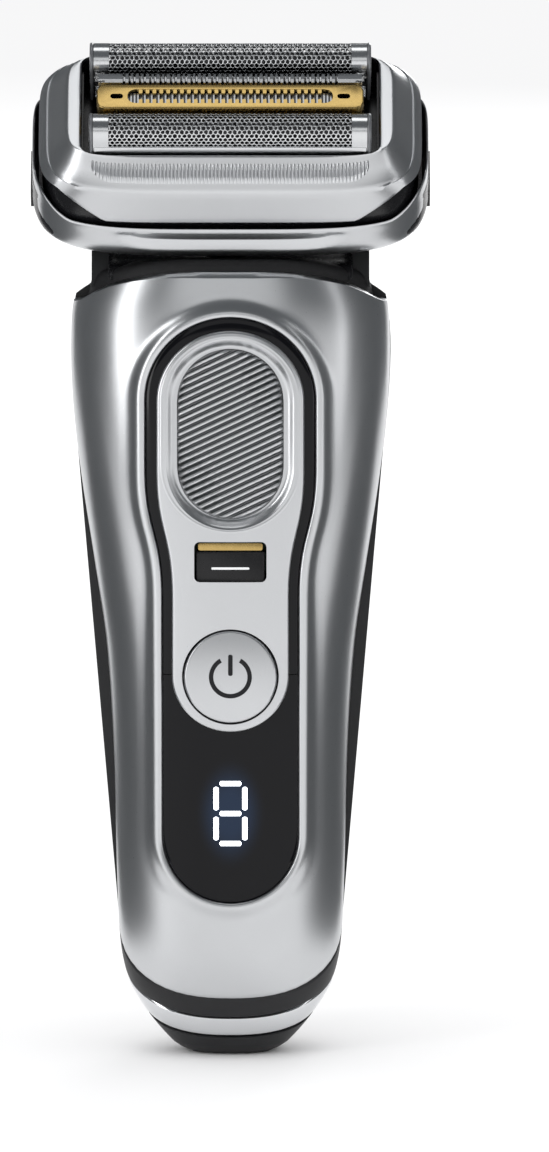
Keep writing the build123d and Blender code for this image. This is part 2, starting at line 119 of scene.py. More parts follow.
# Floor: one wide pale sheet, brushed matt, that the foot just touches. The two small classes write its
# finish, and every finish after it.
class Wire:
    """A socket in a material's tree that takes Python's arithmetic."""

    def __init__(self, finish, socket):
        self.finish = finish
        self.socket = socket

    def math(self, operation, first, second=0.0):
        return self.finish.add("Math", {"operation": operation}, {0: first, 1: second})

    def __add__(self, other):
        return self.math("ADD", self, other)

    def __radd__(self, other):
        return self.math("ADD", other, self)

    def __sub__(self, other):
        return self.math("SUBTRACT", self, other)

    def __rsub__(self, other):
        return self.math("SUBTRACT", other, self)

    def __mul__(self, other):
        return self.math("MULTIPLY", self, other)

    def __rmul__(self, other):
        return self.math("MULTIPLY", other, self)


class Finish:
    """One material: its tree, its shader, and a method that adds any other node."""

    def __init__(self, name, colour, metallic, roughness, **fixed):
        self.material = bpy.data.materials.new(name)
        self.material.use_nodes = True
        self.tree = self.material.node_tree
        self.shader = self.tree.nodes["Principled BSDF"]
        self.set("Base Color", (*colour, 1))
        self.set("Metallic", metallic)
        self.set("Roughness", roughness)
        for socket, value in fixed.items():
            self.set(socket.replace("_", " "), value)

    def set(self, name, value):
        self.feed(self.shader.inputs[name], value)

    def feed(self, socket, value):
        if isinstance(value, Wire):
            self.tree.links.new(value.socket, socket)
        else:
            socket.default_value = value

    def add(self, kind, settings, inputs, output=0):
        node = self.tree.nodes.new("ShaderNode" + kind)
        for name, value in settings.items():
            setattr(node, name, value)
        for name, value in inputs.items():
            self.feed(node.inputs[name], value)
        return Wire(self, node.outputs[output])

    def place(self):
        return self.add("TexCoord", {}, {}, "Object")

    def split(self, vector):
        """The three numbers of a place."""
        first = self.add("SeparateXYZ", {}, {"Vector": vector})
        return [Wire(self, first.socket.node.outputs[i]) for i in range(3)]

    def noise(self, scale, detail=3.0, stretch=(1, 1, 1)):
        spot = self.add("Mapping", {}, {"Vector": self.place(), "Scale": stretch})
        return self.add("TexNoise", {}, {"Vector": spot, "Scale": scale, "Detail": detail})

    def tint(self, mask, dark, light):
        """A colour that runs from dark to light with a mask."""
        inputs = {0: mask, 6: (*dark, 1), 7: (*light, 1)}
        return self.add("Mix", {"data_type": "RGBA"}, inputs, 2)

    def bump(self, height, depth):
        return self.add("Bump", {}, {"Height": height, "Strength": 1.0, "Distance": depth * MM})


FLOOR_SIDE = 60  # metres
bpy.ops.mesh.primitive_plane_add(size=FLOOR_SIDE, location=(0, 0, 0))
floor = bpy.context.object
floor.name = "studio_floor"
pale = Finish("pale_floor", (0.92, 0.92, 0.92), 0.0, 0.9, Specular_IOR_Level=0.0)
pale.set("Base Color", pale.tint(pale.noise(3), (0.915, 0.915, 0.92), (0.925, 0.925, 0.93)))
floor.data.materials.append(pale.material)


# Silver shell: the lacquered moulding that makes the front half of the handle, clipped to the rear shell.
# Its skin runs from a soft raised rim round the keyhole opening out to the seams and a bright top bevel.
# BODY holds a height, a half width, and half depths in front and behind. ARCH is the top edge over x.
BODY = [
    (0, 7.5, 6.2, 6.2), (1.75, 9.6, 7.6, 7.6), (5, 12.5, 9.4, 9.4), (8.4, 14.9, 11.0, 11.0),
    (12, 16.8, 12.4, 12.4), (18, 18.1, 13.5, 13.9), (30, 18.7, 14.1, 14.9), (50, 19.2, 15.0, 16.2),
    (68, 20.4, 15.8, 17.2), (82, 22.4, 16.2, 17.6), (96, 24.5, 16.5, 17.8), (108, 25.8, 16.5, 17.6),
    (118, 26.1, 16.3, 17.2), (125, 25.5, 15.8, 16.6), (131, 23.1, 14.9, 15.8),
]
BODY_POWER = 2.4
ARCH = [(-27, 123.6), (-20, 128.2), (-11, 130.2), (0, 130.5), (11, 130.2), (20, 128.2), (27, 123.6)]
MID_ARCH = 126.0
FRONT_SEAM_Y = 1.4
REAR_SEAM_Y = 1.9
SIDE_DEPTH = 17.0
# Sloping cuts: the height at the middle of the handle, and the rise towards the rear.
FRONT_EDGE = (21.3, 0.94)
RING_TOP = (14.3, 0.72)
RING_FOOT = (6.9, 0.41)
WALL = 2.0
CREASE = radians(42)

silver = Finish("satin_silver", (0.60, 0.61, 0.62), 1.0, 0.27)
grain = silver.noise(5200, 2.0)
silver.set("Base Color", silver.tint(silver.noise(160, 2.0), (0.59, 0.60, 0.612), (0.612, 0.622, 0.634)))
silver.set("Roughness", 0.27 + grain * 0.015)
silver.set("Normal", silver.bump(grain, 0.0002))


def through(stations, at, column=1):
    """A smooth value through a list of stations, at a place along their first column."""
    i = max(k for k in range(len(stations) - 1) if stations[k][0] <= at or k == 0)
    step = stations[i + 1][0] - stations[i][0]
    t = (at - stations[i][0]) / step
    slopes = []
    for k in (i, i + 1):
        low = stations[max(k - 1, 0)]
        high = stations[min(k + 1, len(stations) - 1)]
        slopes.append((high[column] - low[column]) / (high[0] - low[0]))
    blend = 3 * t**2 - 2 * t**3
    start = stations[i][column] * (1 - blend) + stations[i + 1][column] * blend
    return start + step * (slopes[0] * (t**3 - 2 * t**2 + t) + slopes[1] * (t**3 - t**2))


def ring_point(turn, half_width, half_depth, power):
    """A point of a superellipse at a turn about its middle."""
    c = cos(turn)
    s = sin(turn)
    reach = (abs(c) ** power + abs(s) ** power) ** (-1 / power)
    return half_width * c * reach, half_depth * s * reach


def on_handle(turn, z, rise=0.0):
    """A point of the handle's skin at a turn and a height, raised or sunk."""
    depth = through(BODY, z, 3 if sin(turn) > 0 else 2)
    x, y = ring_point(turn, through(BODY, z) + rise, depth + rise, BODY_POWER)
    return x, y, z


def turn_at(x, z):
    """The turn at which the front skin stands at x."""
    k = max(-1.0, min(1.0, x / through(BODY, z)))
    return atan2(-((1 - abs(k) ** BODY_POWER) ** (1 / BODY_POWER)), k)


def on_front(x, z, rise=0.0):
    return on_handle(turn_at(x, z), z, rise)


def seam_turn(y):
    """The turn of the side seam, a little behind the widest line."""
    return y / SIDE_DEPTH


def height_on(plane, turn, rise=0.0):
    """The height at which a sloping plane cuts the skin at a turn."""
    z = plane[0]
    for _ in range(14):
        z = 0.5 * z + 0.5 * (plane[0] + plane[1] * on_handle(turn, max(z, 0), rise)[1])
    return z


def arch_height(x):
    return through(ARCH, x)


def top_height(turn):
    """The height of the arched top edge at a turn."""
    z = MID_ARCH
    for _ in range(6):
        z = arch_height(on_handle(turn, min(z, BODY[-1][0]))[0])
    return z


def as_piece(name, form):
    """Makes an object of a finished form."""
    mesh = bpy.data.meshes.new(name)
    form.to_mesh(mesh)
    form.free()
    piece = bpy.data.objects.new(name, mesh)
    collection.objects.link(piece)
    return piece


def settle(name, form, heart):
    """Welds a form, turns its faces away from its heart and makes it a smooth piece."""
    bmesh.ops.remove_doubles(form, verts=form.verts, dist=2e-6)
    bmesh.ops.recalc_face_normals(form, faces=form.faces)
    heart = Vector(heart) * MM
    outward = sum(f.normal.dot(f.calc_center_median() - heart) * f.calc_area() for f in form.faces)
    if outward < 0:
        bmesh.ops.reverse_faces(form, faces=form.faces)
    piece = as_piece(name, form)
    piece.data.shade_smooth()
    piece.data.set_sharp_from_angle(angle=CREASE)
    return piece


def sheet(name, across, along, place, heart):
    """A grid of faces laid by a rule: place(column, row) gives each corner in millimetres."""
    form = bmesh.new()
    bmesh.ops.create_grid(form, x_segments=across, y_segments=along, size=0.5)
    for vert in form.verts:
        column = round((vert.co.x + 0.5) * across)
        row = round((vert.co.y + 0.5) * along)
        vert.co = Vector(place(column, row)) * MM
    return settle(name, form, heart)


def dress(piece, finish, body, slot, *nodes):
    """Gives a piece its finish, its body and the nodes it stands for. The slot argument is not used."""
    piece.data.materials.clear()
    piece.data.materials.append(finish.material)
    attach(piece, body)
    if nodes:
        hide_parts(*nodes)
    return piece


KEY_TOP = 109.6
NECK_TOP = 98.5
NECK_MIDDLE = 88.0
NECK_LOW = 77.0
STEPS = (28, 8, 26, 14, 24)  # along the crown, upper side, neck, lower side and toe


def key_line(top, low, foot):
    """The keyhole's whole outline as (x, z, outward x, outward z), from the top and to the right."""
    crown, upper, neck, lower, toe = STEPS
    half = []
    for i in range(crown):
        a = pi / 2 * (1 - i / crown)
        half.append((top * cos(a), KEY_TOP + top * sin(a), cos(a), sin(a)))
    for i in range(upper):
        half.append((top, KEY_TOP + (NECK_TOP - KEY_TOP) * i / upper, 1, 0))
    for i in range(neck):
        t = i / neck
        x = top + (low - top) * (3 * t**2 - 2 * t**3)
        z = NECK_TOP * (1 - t) ** 3 + 3 * NECK_MIDDLE * t * (1 - t) + NECK_LOW * t**3
        run = (low - top) * 6 * t * (1 - t)
        fall = -3 * NECK_TOP * (1 - t) ** 2 + 3 * NECK_MIDDLE * (1 - 2 * t) + 3 * NECK_LOW * t**2
        size = hypot(run, fall)
        half.append((x, z, -fall / size, run / size))
    for i in range(lower):
        half.append((low, NECK_LOW + (foot - NECK_LOW) * i / lower, 1, 0))
    for i in range(toe + 1):
        a = -pi / 2 * i / toe
        half.append((low * cos(a), foot + low * sin(a), cos(a), sin(a)))
    return half + [(-x, z, -nx, nz) for x, z, nx, nz in half[-2:0:-1]]


LENS_LOW = 37.5
BUTTON_Z = 64.3
ring_line = key_line(13.75, 11.0, LENS_LOW)
panel_line = key_line(11.7, 9.2, BUTTON_Z)
AROUND = len(ring_line)
RIGHT = AROUND // 2
SHOULDER = 18  # column where the outline faces the shell's upper corner
HEEL = RIGHT - 15

RIM_ROWS = [(0, -1.2), (0, 0.42), (0.08, 0.58), (0.22, 0.72), (0.45, 0.8), (0.8, 0.81), (1.15, 0.74)]
RIM_ROWS += [(1.5, 0.6), (1.85, 0.42), (2.2, 0.26), (2.6, 0.12), (3.0, 0.04), (3.5, 0.0), (4.2, 0.0)]
SPREAD = 26
SHELL_SHOULDER = 25.6
TOP_BEVEL, SIDE_BEVEL, FOOT_BEVEL = 1.1, 0.25, 0.35


def shell_edge(i):
    """The turn and height of the front shell's edge that faces a column of the keyhole's outline."""
    side = 1 if i <= RIGHT else -1
    i = i if i <= RIGHT else AROUND - i
    corner = seam_turn(FRONT_SEAM_Y)
    if i <= SHOULDER:
        turn = -pi / 2 + (pi / 2 + corner) * i / SHOULDER
        z = top_height(turn)
        bevel = TOP_BEVEL
    elif i <= HEEL:
        turn = corner
        top = arch_height(SHELL_SHOULDER)
        low = FRONT_EDGE[0] + FRONT_EDGE[1] * FRONT_SEAM_Y
        z = top + (low - top) * (i - SHOULDER) / (HEEL - SHOULDER)
        bevel = SIDE_BEVEL
    else:
        turn = corner - (pi / 2 + corner) * (i - HEEL) / (RIGHT - HEEL)
        z = height_on(FRONT_EDGE, turn)
        bevel = FOOT_BEVEL
    if side < 0:
        turn = -pi - turn
    return turn, z, bevel


shell_edges = [shell_edge(i) for i in range(AROUND)]


def shell_point(column, row):
    i = column % AROUND
    x, z, nx, nz = ring_line[i]
    d, rise = RIM_ROWS[min(row, len(RIM_ROWS) - 1)]
    z += nz * d
    turn = turn_at(x + nx * d, z)
    if row < len(RIM_ROWS):
        return on_handle(turn, z, rise)
    edge, top, bevel = shell_edges[i]
    span = max(hypot((edge - turn) * 20, top - z), 4)
    far = row - len(RIM_ROWS) + 1
    inset = 1 - bevel / span
    if far <= SPREAD:
        k = inset * far / SPREAD
        rise = 0
    else:
        k, rise = ((1, -0.7 * bevel), (1, -WALL), (1 - 3 / span, -WALL))[far - SPREAD - 1]
    return on_handle(turn + (edge - turn) * k, z + (top - z) * k, rise)


shell = sheet("front_shell_skin", AROUND, len(RIM_ROWS) + SPREAD + 2, shell_point, (0, 0, 70))
dress(shell, silver, "handle", "silver_shell", "front_shell")


# Rear shell: a charcoal moulding with a soft-touch coat and a field of fine crossed dimples for the fingers.
# It covers the back, where it is flat under the trimmer, and shows in front as a band under the silver.
soft_black = Finish("soft_touch", (0.012, 0.012, 0.013), 0.0, 0.46, Specular_IOR_Level=0.35)
pores = soft_black.noise(5200, 2.0)
mottle = soft_black.noise(240)
soft_black.set("Base Color", soft_black.tint(mottle, (0.010, 0.010, 0.011), (0.015, 0.015, 0.017)))
soft_black.set("Roughness", 0.40 + pores * 0.14)
x_at, y_at, z_at = soft_black.split(soft_black.place())
rear_only = soft_black.add("MapRange", {}, {"Value": y_at, "From Min": 6 * MM, "From Max": 10 * MM})
DIMPLE_PITCH = 2.4 * MM
lean = 2 * pi / DIMPLE_PITCH
rising = soft_black.add("Math", {"operation": "SINE"}, {0: (z_at + x_at) * lean})
falling = soft_black.add("Math", {"operation": "SINE"}, {0: (z_at - x_at) * lean})
below = soft_black.add("MapRange", {}, {"Value": z_at, "From Min": 88 * MM, "From Max": 84 * MM})
above = soft_black.add("MapRange", {}, {"Value": z_at, "From Min": 26 * MM, "From Max": 31 * MM})
dimples = rising * falling * rear_only * below * above
soft_black.set("Normal", soft_black.bump(dimples + pores * 0.06, 0.16))
BACK_COLUMNS = 150
FRONT_COLUMNS = 110
REAR_ROWS = 60
TRIMMER_BED = (12.7, 92.4, 16.4)  # half width, lower end and depth of the bed under the trimmer


def rear_turns():
    """Turns all round the rear shell: up the back first, then along the band in front."""
    side = seam_turn(REAR_SEAM_Y)
    back = [side + (pi - 2 * side) * i / BACK_COLUMNS for i in range(BACK_COLUMNS + 1)]
    front = [pi - side + (pi + 2 * side) * i / FRONT_COLUMNS for i in range(FRONT_COLUMNS + 1)]
    return [(turn, True) for turn in back] + [(turn, False) for turn in front]


rear_columns = rear_turns()


def rear_point(column, row):
    turn, behind = rear_columns[column % len(rear_columns)]
    low = height_on(RING_TOP, turn) + 0.1
    high = top_height(turn) if behind else height_on(FRONT_EDGE, turn) + 0.3
    rise = 0.0
    if row == 0:
        z, rise = low, -1.5
    elif row == 1:
        z, rise = low, -0.25
    elif row <= REAR_ROWS:
        share = (row - 2) / (REAR_ROWS - 2)
        z = low + 0.25 + (high - low - 1.0) * share
    else:
        step, rise = ((0.25, -0.25), (0, -0.6), (0, -WALL), (2.5, -WALL))[row - REAR_ROWS - 1]
        z = high - step if behind else high - 0.3 * step
    x, y, z = on_handle(turn, z, rise)
    half, start, bed = TRIMMER_BED
    if abs(x) < half and z > start and y > bed:
        y = bed
    return x, y, z


rear = sheet("rear_shell_skin", len(rear_columns), REAR_ROWS + 4, rear_point, (0, 0, 70))
dress(rear, soft_black, "handle", "soft_black", "rear_shell")


# Bright ring and foot cap: a plated band is let in between the shells and the soft-touch cap, and both are
# cut on a slope. The cap closes the handle's foot round the charging socket.
plated = Finish("plated_ring", (0.72, 0.73, 0.745), 1.0, 0.13)
plated.set("Roughness", 0.10 + plated.noise(1400) * 0.07)
BAND_COLUMNS = 180
RING_ROWS = [(0, -1.6), (0, -0.35), (0.06, -0.1), (0.14, 0.0), (0.3, 0.03), (0.5, 0.04), (0.7, 0.03)]
RING_ROWS += [(0.86, 0.0), (0.94, -0.1), (1, -0.35), (1, -1.6)]


def ring_band(column, row):
    turn = 2 * pi * column / BAND_COLUMNS
    share, rise = RING_ROWS[row]
    low = height_on(RING_FOOT, turn) + 0.12
    high = height_on(RING_TOP, turn) - 0.05
    return on_handle(turn, low + (high - low) * share, rise)


ring = sheet("base_ring_band", BAND_COLUMNS, len(RING_ROWS) - 1, ring_band, (0, 0, 12))
dress(ring, plated, "handle", "bright_ring", "base_ring")

CAP_ROWS = 18
SOCKET_EDGE = (6.4, 4.1)
FOOT_EDGE = ((0.02, -1.5), (0.3, -0.75), (0.8, -0.25), (1.6, 0))


def cap_skin(column, row):
    turn = 2 * pi * column / BAND_COLUMNS
    high = height_on(RING_FOOT, turn) - 0.05
    if row < 3:
        x, y = ring_point(turn, *SOCKET_EDGE, 3.2)
        outer = on_handle(turn, 0, -1.9)
        share = row / 2
        return x + (outer[0] - x) * share, y + (outer[1] - y) * share, 0
    if row < 7:
        z, rise = FOOT_EDGE[row - 3]
        return on_handle(turn, z, rise)
    if row > CAP_ROWS - 2:
        return on_handle(turn, high, (-0.3, -1.8)[row - CAP_ROWS + 1])
    return on_handle(turn, 1.6 + (high - 1.8) * (row - 6) / (CAP_ROWS - 8), 0)


cap = sheet("base_cap_skin", BAND_COLUMNS, CAP_ROWS, cap_skin, (0, 0, 6))
dress(cap, soft_black, "handle", "soft_black", "base_cap")


# Keyhole trim and display lens: a glossy black moulding frames the thumb panel, and a clear-coated black
# lens carries it on round the panel's foot, over the display. They meet on a level joint, edges broken.
gloss = Finish("gloss_trim", (0.003, 0.003, 0.004), 0.0, 0.06, Specular_IOR_Level=0.22)
gloss.set("Roughness", 0.04 + gloss.noise(700) * 0.05)
TRIM_SPLIT = 64.4
TRIM_ROWS = [(0.0, -1.0), (0.02, 0.12), (0.06, 0.24), (0.14, 0.3), (0.5, 0.32), (1.0, 0.3), (1.1, -0.6)]


def trim_point(column, row):
    x, z = ring_line[column % AROUND][:2]
    inner_x, inner_z = panel_line[column % AROUND][:2]
    share, rise = TRIM_ROWS[row]
    px, pz = x + (inner_x - x) * share, z + (inner_z - z) * share
    return on_front(px * 0.998, pz, rise)


def sawn(piece, level, **cleared):
    """Cuts a piece at a level and clears one side of the cut."""
    form = bmesh.new()
    form.from_mesh(piece.data)
    geom = [*form.verts, *form.edges, *form.faces]
    bmesh.ops.bisect_plane(form, geom=geom, plane_co=(0, 0, level * MM), plane_no=(0, 0, 1), **cleared)
    form.to_mesh(piece.data)
    form.free()


trim = sheet("upper_trim_band", AROUND, len(TRIM_ROWS) - 1, trim_point, (0, 0, 70))
sawn(trim, TRIM_SPLIT + 0.06, clear_inner=True)
dress(trim, gloss, "handle", "gloss_black", "upper_trim")

LENS_ROWS = [(0, -1.0), (0, 0.12), (0.1, 0.22), (0.3, 0.3)]
LENS_FILL = 20
DIGIT_Z = 41.5
GLOW_SQUASH = 0.62  # the glow stands taller than it is wide
lens_finish = Finish("display_lens", (0.002, 0.002, 0.003), 0.0, 0.03, Specular_IOR_Level=0.22)
# Painted glow: the lens glows a soft blue round the digit, standing in for the display's light spreading in
# the lens.
spot = lens_finish.add("Mapping", {}, {"Vector": lens_finish.place(), "Scale": (1, 0, GLOW_SQUASH)})
centre = Vector((0, 0, DIGIT_Z * GLOW_SQUASH)) * MM
away = lens_finish.add("VectorMath", {"operation": "DISTANCE"}, {0: spot, 1: centre}, "Value")
painted_glow = lens_finish.add("MapRange", {"interpolation_type": "SMOOTHERSTEP"}, {
    "Value": away, "From Min": 6.2 * MM, "From Max": 1.2 * MM, "To Min": 0.0, "To Max": 1.0})
lens_finish.set("Emission Color", lens_finish.tint(painted_glow, (0, 0, 0), (0.010, 0.024, 0.055)))
lens_finish.set("Emission Strength", 1.0)
lens_finish.set("Roughness", 0.02 + lens_finish.noise(500) * 0.02)


def lens_point(column, row):
    x, z, nx, nz = ring_line[column % AROUND]
    if row < len(LENS_ROWS):
        d, rise = LENS_ROWS[row]
        return on_front(x - nx * d, min(z - nz * d, TRIM_SPLIT + 4), rise)
    share = (row - len(LENS_ROWS) + 1) / LENS_FILL
    spine = max(LENS_LOW, min(z, KEY_TOP))
    x -= nx * 0.3
    z -= nz * 0.3
    return on_front(x * (1 - share), z + (spine - z) * share, 0.3 + 0.1 * share)


lens = sheet("display_lens_glass", AROUND, len(LENS_ROWS) + LENS_FILL - 1, lens_point, (0, 0, 70))
sawn(lens, TRIM_SPLIT - 0.06, clear_outer=True)
dress(lens, lens_finish, "handle", "gloss_black", "display_lens")


# Inlay panel: a raised silver tongue with rounded edges, pressed into the keyhole. The thumb hollow is sunk
# in it, and the button's bore and the lock window go through it.
# THUMB is the hollow's lower end, upper end and half width. WINDOW is its middle, width and height.
PANEL_ROWS = [(0, -0.9), (0, 0.75), (0.08, 0.95), (0.2, 1.08), (0.38, 1.17), (0.6, 1.2)]
PANEL_FILL = 44
THUMB = (88.6, 120.1, 10.4)
THUMB_FLOOR = -16.1
PANEL_BACK = -13.2
PANEL_RISE = 1.2
BORE_RADIUS = 7.9
WINDOW = (83.3, 11.8, 6.64)


def stadium_reach(x, z, low, high, half):
    """How far a point lies outside an upright round-ended slot."""
    near = max(low + half, min(z, high - half))
    return hypot(x, z - near) - half


def panel_point(column, row):
    x, z, nx, nz = panel_line[column % AROUND]
    if row < len(PANEL_ROWS):
        d, rise = PANEL_ROWS[row]
        return on_front(x - nx * d, z - nz * d, rise)
    share = (row - len(PANEL_ROWS) + 1) / PANEL_FILL
    spine = max(BUTTON_Z, min(z, KEY_TOP))
    x -= nx * 0.6
    z -= nz * 0.6
    px, pz = x * (1 - share), z + (spine - z) * share
    return on_front(px, pz, PANEL_RISE)


def carve(piece, cutter):
    """Cuts one closed piece from another for good."""
    change = piece.modifiers.new("cut", "BOOLEAN")
    change.operation = "DIFFERENCE"
    change.solver = "EXACT"
    change.object = cutter
    graph = bpy.context.evaluated_depsgraph_get()
    mesh = bpy.data.meshes.new_from_object(piece.evaluated_get(graph))
    piece.modifiers.clear()
    piece.data = mesh
    bpy.data.objects.remove(cutter)
    mesh.set_sharp_from_angle(angle=radians(38))


def corners_of(geom):
    """The vertices among what an operator hands back."""
    return [v for v in geom if isinstance(v, bmesh.types.BMVert)]


def puck(name, radius, y, z, columns=96, edge=0.0):
    """A round bar along y between two depths, with an optional bevel at its front."""
    form = bmesh.new()
    bmesh.ops.create_circle(form, cap_ends=True, radius=radius * MM, segments=columns)
    bmesh.ops.rotate(form, verts=form.verts, matrix=Matrix.Rotation(pi / 2, 3, "X"))
    bmesh.ops.translate(form, verts=form.verts, vec=Vector((0, y[1], z)) * MM)
    side = bmesh.ops.extrude_face_region(form, geom=form.faces[:])
    front = corners_of(side["geom"])
    bmesh.ops.translate(form, verts=front, vec=Vector((0, y[0] - y[1], 0)) * MM)
    if edge:
        rim = [e for e in form.edges if all(v in front for v in e.verts)]
        bmesh.ops.bevel(form, geom=rim, offset=edge * MM, affect="EDGES", segments=4, profile=0.5,
                        material=-1)
    return settle(name, form, (0, (y[0] + y[1]) / 2, z))


def as_is(x, y, z):
    return x, y, z


def slab(name, x, y, z, corner=0.0, steps=5, axis=1, soft=0.0, place=as_is):
    """A box between two values on each axis. The edges along one axis are rounded, and then all may be
    softened, before the box is put in place."""
    form = bmesh.new()
    bmesh.ops.create_cube(form, size=1)
    spans = (x, y, z)
    for vert in form.verts:
        for i, (low, high) in enumerate(spans):
            vert.co[i] = low if vert.co[i] < 0 else high
    if corner:
        along = [e for e in form.edges if abs((e.verts[0].co - e.verts[1].co)[axis]) > 1e-4]
        bmesh.ops.bevel(form, geom=along, offset=corner, affect="EDGES", segments=steps, profile=0.5,
                        material=-1)
    if soft:
        ends = [e for e in form.edges if abs((e.verts[0].co - e.verts[1].co)[axis]) < 1e-4]
        bmesh.ops.bevel(form, geom=ends, offset=soft, affect="EDGES", segments=3, profile=0.5, material=-1)
    for vert in form.verts:
        vert.co = Vector(place(*vert.co)) * MM
    return settle(name, form, place(*[(low + high) / 2 for low, high in spans]))


panel = sheet("inlay_panel_skin", AROUND, len(PANEL_ROWS) + PANEL_FILL - 1, panel_point, (0, 0, 70))
form = bmesh.new()
form.from_mesh(panel.data)
loop = [e for e in form.edges if e.is_boundary]
back = bmesh.ops.extrude_edge_only(form, edges=loop)
for vert in corners_of(back["geom"]):
    vert.co.y = PANEL_BACK * MM
bmesh.ops.holes_fill(form, edges=[e for e in form.edges if e.is_boundary], sides=0)
bmesh.ops.recalc_face_normals(form, faces=form.faces)
form.to_mesh(panel.data)
form.free()
carve(panel, puck("button_bore", BORE_RADIUS, (-25, -5), BUTTON_Z, 128))
middle, width, height = WINDOW
window_z = (middle - height / 2, middle + height / 2)
carve(panel, slab("window_bore", (-width / 2, width / 2), (-25, -5), window_z, 0.9))
carve(panel, slab("hollow_bore", (-10.38, 10.38), (-25, THUMB_FLOOR), THUMB[:2], 10.3, 28))
dress(panel, silver, "handle", "silver_shell", "inlay_panel")

HOLLOW_COLUMNS = 168
LIP_ROWS = [(0.62, -0.03), (0.45, 0.03), (0.25, 0.04)]
LIP_STEPS = 10


def hollow_lip(column, row):
    """The rolled edge of the thumb hollow, from the panel's face down to the floor."""
    low, high, half = THUMB
    straight = high - low - 2 * half
    whole = 2 * pi * half + 2 * straight
    run = whole * column / HOLLOW_COLUMNS
    if run < straight:
        x, z, nx, nz = half, low + half + run, 1, 0
    elif run < straight + pi * half:
        a = (run - straight) / half
        x, z, nx, nz = half * cos(a), high - half + half * sin(a), cos(a), sin(a)
    elif run < 2 * straight + pi * half:
        x, z, nx, nz = -half, high - half - (run - straight - pi * half), -1, 0
    else:
        a = pi + (run - 2 * straight - pi * half) / half
        x, z, nx, nz = half * cos(a), low + half + half * sin(a), cos(a), sin(a)
    if row < len(LIP_ROWS):
        d, rise = LIP_ROWS[row]
        return on_front(x + nx * d, z + nz * d, PANEL_RISE + rise)
    t = (row - len(LIP_ROWS)) / LIP_STEPS
    d = 0.08 - 1.7 * t
    x, y, z = on_front(x + nx * d, z + nz * d, PANEL_RISE)
    return x, y + (THUMB_FLOOR - 0.02 - y) * t * t * (3 - 2 * t), z


lip = sheet("thumb_hollow_lip", HOLLOW_COLUMNS, len(LIP_ROWS) + LIP_STEPS, hollow_lip, (0, -16, 104))
dress(lip, silver, "handle", "silver_shell")


# Thumb grip: a pad of silver-coated soft plastic with slanting rounded ribs, glued into the hollow.
# GRIP is its lower end, upper end and half width. The grooves between the ribs are painted darker, as painted
# shade.
GRIP = (90.2, 118.2, 8.7)
RIB_PITCH = 1.02
RIB_ANGLE = radians(25)
RIB_HEIGHT = 0.52
GRIP_BED = -16.14
GRIP_AROUND = 110
GRIP_FILL = 250
grip_finish = Finish("ribbed_silver", (0.66, 0.67, 0.685), 1.0, 0.3)
grip_finish.set("Roughness", 0.27 + grip_finish.noise(2400, 2.0) * 0.06)
depth_at = grip_finish.split(grip_finish.place())[1]
# Painted shade: the colour runs from dark in the grooves to light on the rib tops, by depth.
painted_groove_shade = grip_finish.add("MapRange", {}, {"Value": depth_at, "From Min": -16.25 * MM, "From Max": -16.55 * MM})
grip_finish.set("Base Color", grip_finish.tint(painted_groove_shade, (0.16, 0.165, 0.17), (0.68, 0.69, 0.70)))


def grip_point(column, row):
    low, high, half = GRIP
    x = -half + 2 * half * column / GRIP_AROUND
    reach = (max(half**2 - x**2, 0)) ** 0.5
    bottom, top = low + half - reach, high - half + reach
    z = bottom + (top - bottom) * row / GRIP_FILL
    across = (z * cos(RIB_ANGLE) - x * sin(RIB_ANGLE)) / RIB_PITCH
    wave = max(0.0, min(1.0, 0.62 + 0.75 * cos(2 * pi * across)))
    edge = max(0.0, min(1.0, -stadium_reach(x, z, *GRIP) / 0.5))
    return x, GRIP_BED - RIB_HEIGHT * wave * edge, z


grip = sheet("thumb_grip_ribs", GRIP_AROUND, GRIP_FILL, grip_point, (0, 0, 104))
dress(grip, grip_finish, "handle", "silver_shell", "thumb_grip")


# Head lock: a satin black slider with a white printed line moves in the window, under a gold-coated strip
# that is fixed to the panel and marks the locked place.
gold = Finish("gold_coat", (0.50, 0.35, 0.13), 1.0, 0.3)
gold.set("Base Color", gold.tint(gold.noise(600), (0.46, 0.32, 0.11), (0.55, 0.39, 0.15)))
gold.set("Roughness", 0.2 + gold.noise(2200, 2.0) * 0.12)
satin_black = Finish("satin_black", (0.006, 0.006, 0.007), 0.0, 0.25, Specular_IOR_Level=0.35)
satin_black.set("Roughness", 0.2 + satin_black.noise(1500) * 0.12)
slider = slab("lock_slider_key", (-5.6, 5.6), (-16.2, -13.4), (middle - 5.1, middle + 1.6), 0.4, 3, 1, 0.2)
dress(slider, satin_black, "lock", "inner_black", "lock_slider")
white = Finish("white_ink", (0.85, 0.86, 0.87), 0.0, 0.5)
white.set("Roughness", 0.45 + white.noise(900) * 0.1)
line = slab("lock_slider_line", (-3.1, 3.1), (-16.24, -16.1), (middle - 1.38, middle - 1.0), 0.15, 3, 1)
dress(line, white, "lock", "inner_black")
strip_z = (middle + 1.72, middle + 2.95)
strip = slab("lock_indicator_strip", (-5.3, 5.3), (-16.1, -15.6), strip_z, 0.35, 3, 1, 0.1)
dress(strip, gold, "handle", "gold", "lock_indicator")


# Power button: a flat silver disc with a broken edge that presses into its bore in the panel. The on-off
# sign, an open ring and a bar, is filled with dark ink. A black disc behind the bore is painted shade that
# shows in the gap round the disc.
BUTTON_RADIUS = 7.62
BUTTON_FACE = -16.85
button = puck("power_button_cap", BUTTON_RADIUS, (BUTTON_FACE, -14.1), BUTTON_Z, 128, 0.5)
dress(button, silver, "power_key", "silver_shell", "power_button")
# Painted shade: a black disc behind the bore darkens the gap round the button.
shade_disc = puck("button_shade_disc", BORE_RADIUS, (-13.3, -13.0), BUTTON_Z, 96)
dress(shade_disc, satin_black, "handle", "gloss_black")


